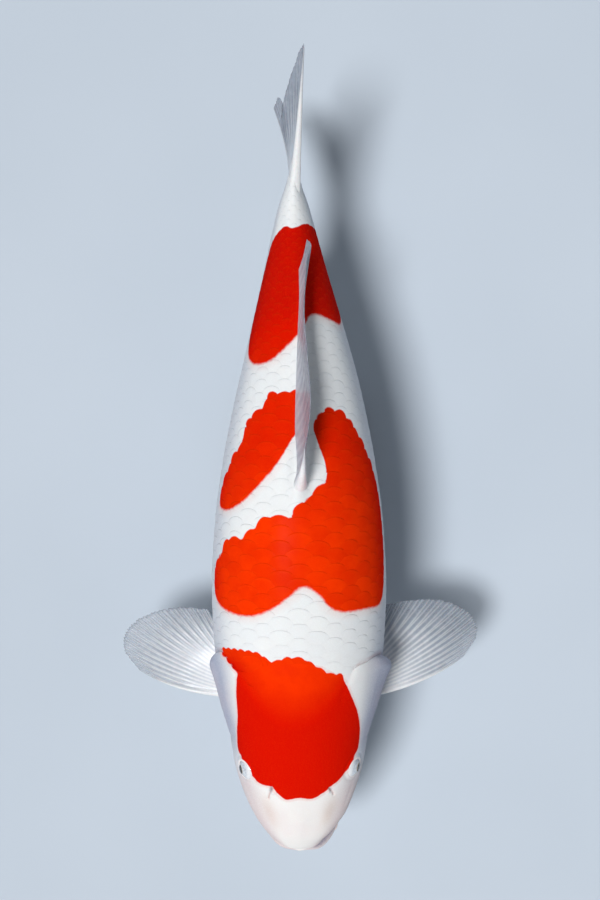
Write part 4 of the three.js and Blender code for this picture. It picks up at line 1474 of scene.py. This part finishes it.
# Reds of the fish from the deepest, which is mostly painted shade low on the flanks and towards the tail,
# to the most orange, and the tints that break them up.
SHADED_DEEP_RED = (0.29, 0.0016, 0.0040)
FULL_RED = (0.68, 0.0050, 0.0004)
ORANGE_RED = (0.93, 0.036, 0.0005)
DARK_MOTTLE = (0.66, 0.006, 0.0004)
DARK_SCALE = (0.56, 0.004, 0.0004)
ORANGE_SPECKLE = (0.95, 0.060, 0.001)
ORANGE_EDGE = (0.95, 0.060, 0.003)
# Tints that break up the white.
BRIGHT_SPECKLE = (0.92, 0.93, 0.94)
WARM_MOTTLE = (0.72, 0.66, 0.66)
WARM_CLOUD = (0.74, 0.62, 0.63)
GREY_EDGE = (0.62, 0.64, 0.70)


def red_colour(n, tone, speckle, mottle, scaled):
    """Red by its warmth, which carries painted shade low on the flanks and towards the tail, mottled and
    speckled, and on the coat a little different from scale to scale.
    """
    warm = n.attribute("warm")
    red = n.mix(n.fit(warm, 0.0, 0.3, soft=False), SHADED_DEEP_RED, FULL_RED)
    red = n.mix(n.fit(warm, 0.3, 1.0, soft=False), red, ORANGE_RED)
    red = n.mix(n.fit(mottle, 0.3, 0.75, 0, 0.3), red, DARK_MOTTLE)
    red = n.mix(n.fit(speckle, 0.4, 0.8, 0, 0.15), red, ORANGE_SPECKLE)
    red = n.mix(n.fit(tone, -2, 2, 0, 0.25), red, DARK_SCALE)
    edge_share = 0.12 if scaled else 0.0
    return n.mix(n.maths("MULTIPLY", n.attribute("edge"), edge_share), red, ORANGE_EDGE)


def white_colour(n, speckle, mottle, scaled):
    """The mesh's own paint, speckled and mottled, with grey scale edges or warm clouds."""
    white = n.attribute("paint", vector=True)
    white = n.mix(n.fit(speckle, 0.4, 0.8, 0, 0.22), white, BRIGHT_SPECKLE)
    white = n.mix(n.fit(mottle, 0.45, 0.8, 0, 0.12), white, WARM_MOTTLE)
    if scaled:
        return n.mix(n.maths("MULTIPLY", n.attribute("edge"), 0.08), white, GREY_EDGE)
    return n.mix(n.fit(n.noise(24, 4), 0.45, 0.72, 0, 0.2), white, WARM_CLOUD)


def fish_skin(name, scaled):
    """Fish skin: the paint, with red laid over it, and fine grain."""
    n = Nodes(name)
    speckle = n.noise(900, 2)
    mottle = n.noise(60, 4)
    tone = n.attribute("tone")
    uneven_edge = n.fit(n.noise(260, 2), 0, 1, -0.45, 0.45)
    red_share = n.fit(n.maths("ADD", n.attribute("red"), uneven_edge), -1, 1)
    red = red_colour(n, tone, speckle, mottle, scaled)
    n.drive("Base Color", n.mix(red_share, white_colour(n, speckle, mottle, scaled), red))
    fine = n.bump(n.noise(2600, 2), 0.00012, 0.35)
    if not scaled:
        fine = n.bump(n.fit(n.cells(420), 0.0, 0.5), 0.0001, 0.25, fine)
    n.drive("Normal", n.bump(n.noise(330, 3), 0.00035, 0.35, fine))
    n.drive("Roughness", n.fit(mottle, 0.3, 0.8, 0.44, 0.56))
    n.set(Subsurface_Weight=0.05, Subsurface_Scale=0.002, Subsurface_Radius=(1.0, 0.35, 0.25),
          Coat_Weight=0.015, Coat_Roughness=0.32, Specular_IOR_Level=0.0)
    return n.material


def fin_web(name):
    """White rays in a thin grey-blue web that lets light through."""
    n = Nodes(name)
    cloud = n.fit(n.noise(160, 4), 0.4, 0.8, 0, 0.2)
    n.drive("Base Color", n.mix(cloud, n.attribute("paint", vector=True), (0.72, 0.75, 0.80)))
    grain = n.fit(n.noise(420, 3), 0.3, 0.8, 0.0, 0.08)
    n.drive("Alpha", n.maths("SUBTRACT", n.attribute("solid"), grain))
    n.drive("Normal", n.bump(n.noise(1500, 2), 0.0001, 0.4))
    n.set(Roughness=0.42, Coat_Weight=0.12, Coat_Roughness=0.15, Subsurface_Weight=0.06,
          Subsurface_Scale=0.002, Specular_IOR_Level=0.3)
    return n.material


def eyeball(name):
    """A dark pupil, a thin gold ring, a silvery iris and a pale rim, told apart by angle."""
    pupil, gold, pale = (0.002, 0.002, 0.003), (0.44, 0.38, 0.28), (0.84, 0.85, 0.87)
    n = Nodes(name)
    polar = n.attribute("polar")
    fleck = n.noise(700, 4)
    iris = n.mix(n.fit(fleck, 0.35, 0.7), (0.52, 0.57, 0.64), (0.74, 0.78, 0.82))
    iris = n.mix(n.fit(n.noise(240, 3), 0.5, 0.75, 0, 0.55), iris, (0.26, 0.28, 0.34))
    ring = n.mix(n.fit(polar, 22.0, 25), gold, iris)
    inner = n.mix(n.fit(polar, 20.5, 21.5), pupil, ring)
    n.drive("Base Color", n.mix(n.fit(polar, 40, 56), inner, pale))
    n.drive("Normal", n.bump(fleck, 0.0002, 0.3))
    n.set(Roughness=0.35, Coat_Weight=1.0, Coat_Roughness=0.03, Specular_IOR_Level=0.2)
    return n.material


def cornea(name):
    """Clear, wet and only seen by what it reflects."""
    n = Nodes(name)
    n.drive("Roughness", n.fit(n.noise(300, 2), 0, 1, 0.01, 0.04))
    n.set(Alpha=0.06, Coat_Weight=1.0, Coat_Roughness=0.02, Specular_IOR_Level=0.6,
          Base_Color=(0.05, 0.06, 0.07, 1))
    return n.material


def walnut(name):
    """Dark straight-grained wood under a satin varnish."""
    n = Nodes(name)
    grain = n.noise(42, 6, (1, 0.06, 0.6))
    pits = n.noise(520, 3, (1, 0.035, 1))
    wood = n.mix(n.fit(grain, 0.3, 0.7), (0.060, 0.026, 0.012), (0.155, 0.073, 0.034))
    n.drive("Base Color", n.mix(n.fit(pits, 0.5, 0.7, 0, 0.7), wood, (0.028, 0.012, 0.006)))
    n.drive("Normal", n.bump(pits, 0.0003, 0.3))
    n.drive("Roughness", n.fit(grain, 0.3, 0.7, 0.38, 0.5))
    n.set(Coat_Weight=0.25, Coat_Roughness=0.25)
    return n.material


def brushed_steel(name):
    """Turned steel with fine rings from the lathe."""
    n = Nodes(name)
    rings = n.noise(1800, 2, (0.02, 0.02, 1))
    n.drive("Base Color", n.mix(n.fit(rings, 0.3, 0.7), (0.56, 0.57, 0.58), (0.68, 0.69, 0.70)))
    n.drive("Normal", n.bump(rings, 0.00005, 0.5))
    n.drive("Roughness", n.fit(rings, 0.3, 0.7, 0.24, 0.38))
    n.set(Metallic=1.0)
    return n.material


def matt_floor(name):
    """Pale blue-grey paper."""
    n = Nodes(name)
    n.drive("Base Color", n.mix(n.fit(n.noise(3, 2), 0.3, 0.7), (0.50, 0.56, 0.63), (0.52, 0.58, 0.65)))
    n.set(Roughness=0.9, Specular_IOR_Level=0.1)
    return n.material


# ---------------------------------------------------------------- stage, lights and camera

FLOOR_HALF = 60.0                 # metres


def build_stage():
    """A plain pale floor."""
    corners = [(x * FLOOR_HALF, y * FLOOR_HALF, 0) for x, y in ((-1, -1), (1, -1), (1, 1), (-1, 1))]
    mesh = bpy.data.meshes.new("floor")
    mesh.from_pydata(corners, [], [(0, 1, 2, 3)])
    floor = add_object("floor", mesh)
    floor.data.materials.append(matt_floor("pale_floor"))


def add_light(name, place, target, size, power, colour=(1, 1, 1)):
    """A soft square light at a place, turned to a target."""
    data = bpy.data.lights.new(name, "AREA")
    data.shape = "SQUARE"
    data.size = size
    data.energy = power
    data.color = colour
    light = add_object(name, data)
    light.location = place
    direction = Vector(target) - Vector(place)
    light.rotation_euler = direction.to_track_quat("-Z", "Y").to_euler()


def add_sun(name, place, width, strength):
    """A broad light from the direction of a place; its width is an angle in degrees."""
    data = bpy.data.lights.new(name, "SUN")
    data.angle = math.radians(width)
    data.energy = strength
    light = add_object(name, data)
    light.rotation_euler = Vector(place).to_track_quat("Z", "Y").to_euler()


CAMERA_PLACE = (0.00093, 0.079, 1.568)      # metres, looking straight down
LENS = 59.96
SENSOR_WIDTH = 36


def build_room():
    """Pale light from all round, brightest at the horizon."""
    world = bpy.data.worlds.new("soft_room")
    world.use_nodes = True
    tree = world.node_tree
    back = tree.nodes["Background"]
    back.inputs["Color"].default_value = (0.86, 0.92, 1.0, 1)
    split = tree.nodes.new("ShaderNodeSeparateXYZ")
    tree.links.new(tree.nodes.new("ShaderNodeTexCoord").outputs["Generated"], split.inputs[0])
    fade = tree.nodes.new("ShaderNodeMapRange")
    fade.interpolation_type = "SMOOTHSTEP"
    tree.links.new(split.outputs["Z"], fade.inputs["Value"])
    for key, number in (("From Min", 0.0), ("From Max", 0.4), ("To Min", 0.66), ("To Max", 0.15)):
        fade.inputs[key].default_value = number
    tree.links.new(fade.outputs["Result"], back.inputs["Strength"])
    bpy.context.scene.world = world


def build_lights():
    """One high key light, and two weak ones that open the shade on the sides."""
    middle = (0, 0.08, 0.15)
    add_sun("key", (-0.62, -0.28, 2.1), width=16, strength=3.0)
    add_light("fill", (1.3, -0.4, 1.6), middle, size=1.4, power=1.5, colour=(0.92, 0.96, 1))
    add_light("front", (-0.3, -2.1, 1.0), middle, size=2.4, power=4)


def build_camera():
    """A camera straight above the fish."""
    data = bpy.data.cameras.new("camera")
    data.lens = LENS
    data.sensor_width = SENSOR_WIDTH
    camera = add_object("camera", data)
    camera.location = CAMERA_PLACE
    bpy.context.scene.camera = camera


# ---------------------------------------------------------------- assembly

def build_fish():
    """Skin, scales, fins, eyes and barbels, with what comes in pairs built side by side."""
    smooth_skin = fish_skin("koi_skin", scaled=False)
    scaled_skin = fish_skin("koi_scales", scaled=True)
    web, ball, clear = fin_web("fin_web"), eyeball("eyeball"), cornea("cornea")
    build_skin(smooth_skin)
    build_scales(scaled_skin)
    for name in ("dorsal_fin", "anal_fin", "tail_fin_upper", "tail_fin_lower"):
        build_fin(name, name, web)
    for side, word in ((1, "left"), (-1, "right")):
        build_fin("pectoral_fin", "pectoral_fin_" + word, web, side)
        build_fin("pelvic_fin", "pelvic_fin_" + word, web, side)
        build_eye(side, word, ball, clear)
        build_barbel("lip_barbel_" + word, *LIP_BARBEL, side, smooth_skin)
        build_barbel("corner_barbel_" + word, *CORNER_BARBEL, side, smooth_skin)


def build_stand():
    """The base and its two rods."""
    build_base(walnut("walnut"))
    steel = brushed_steel("turned_steel")
    for node, station in ROD_STATIONS.items():
        build_rod(node, station, steel)


build_camera()
build_fish()
build_stand()
build_stage()
build_room()
build_lights()
bpy.context.scene.view_settings.view_transform = "Standard"
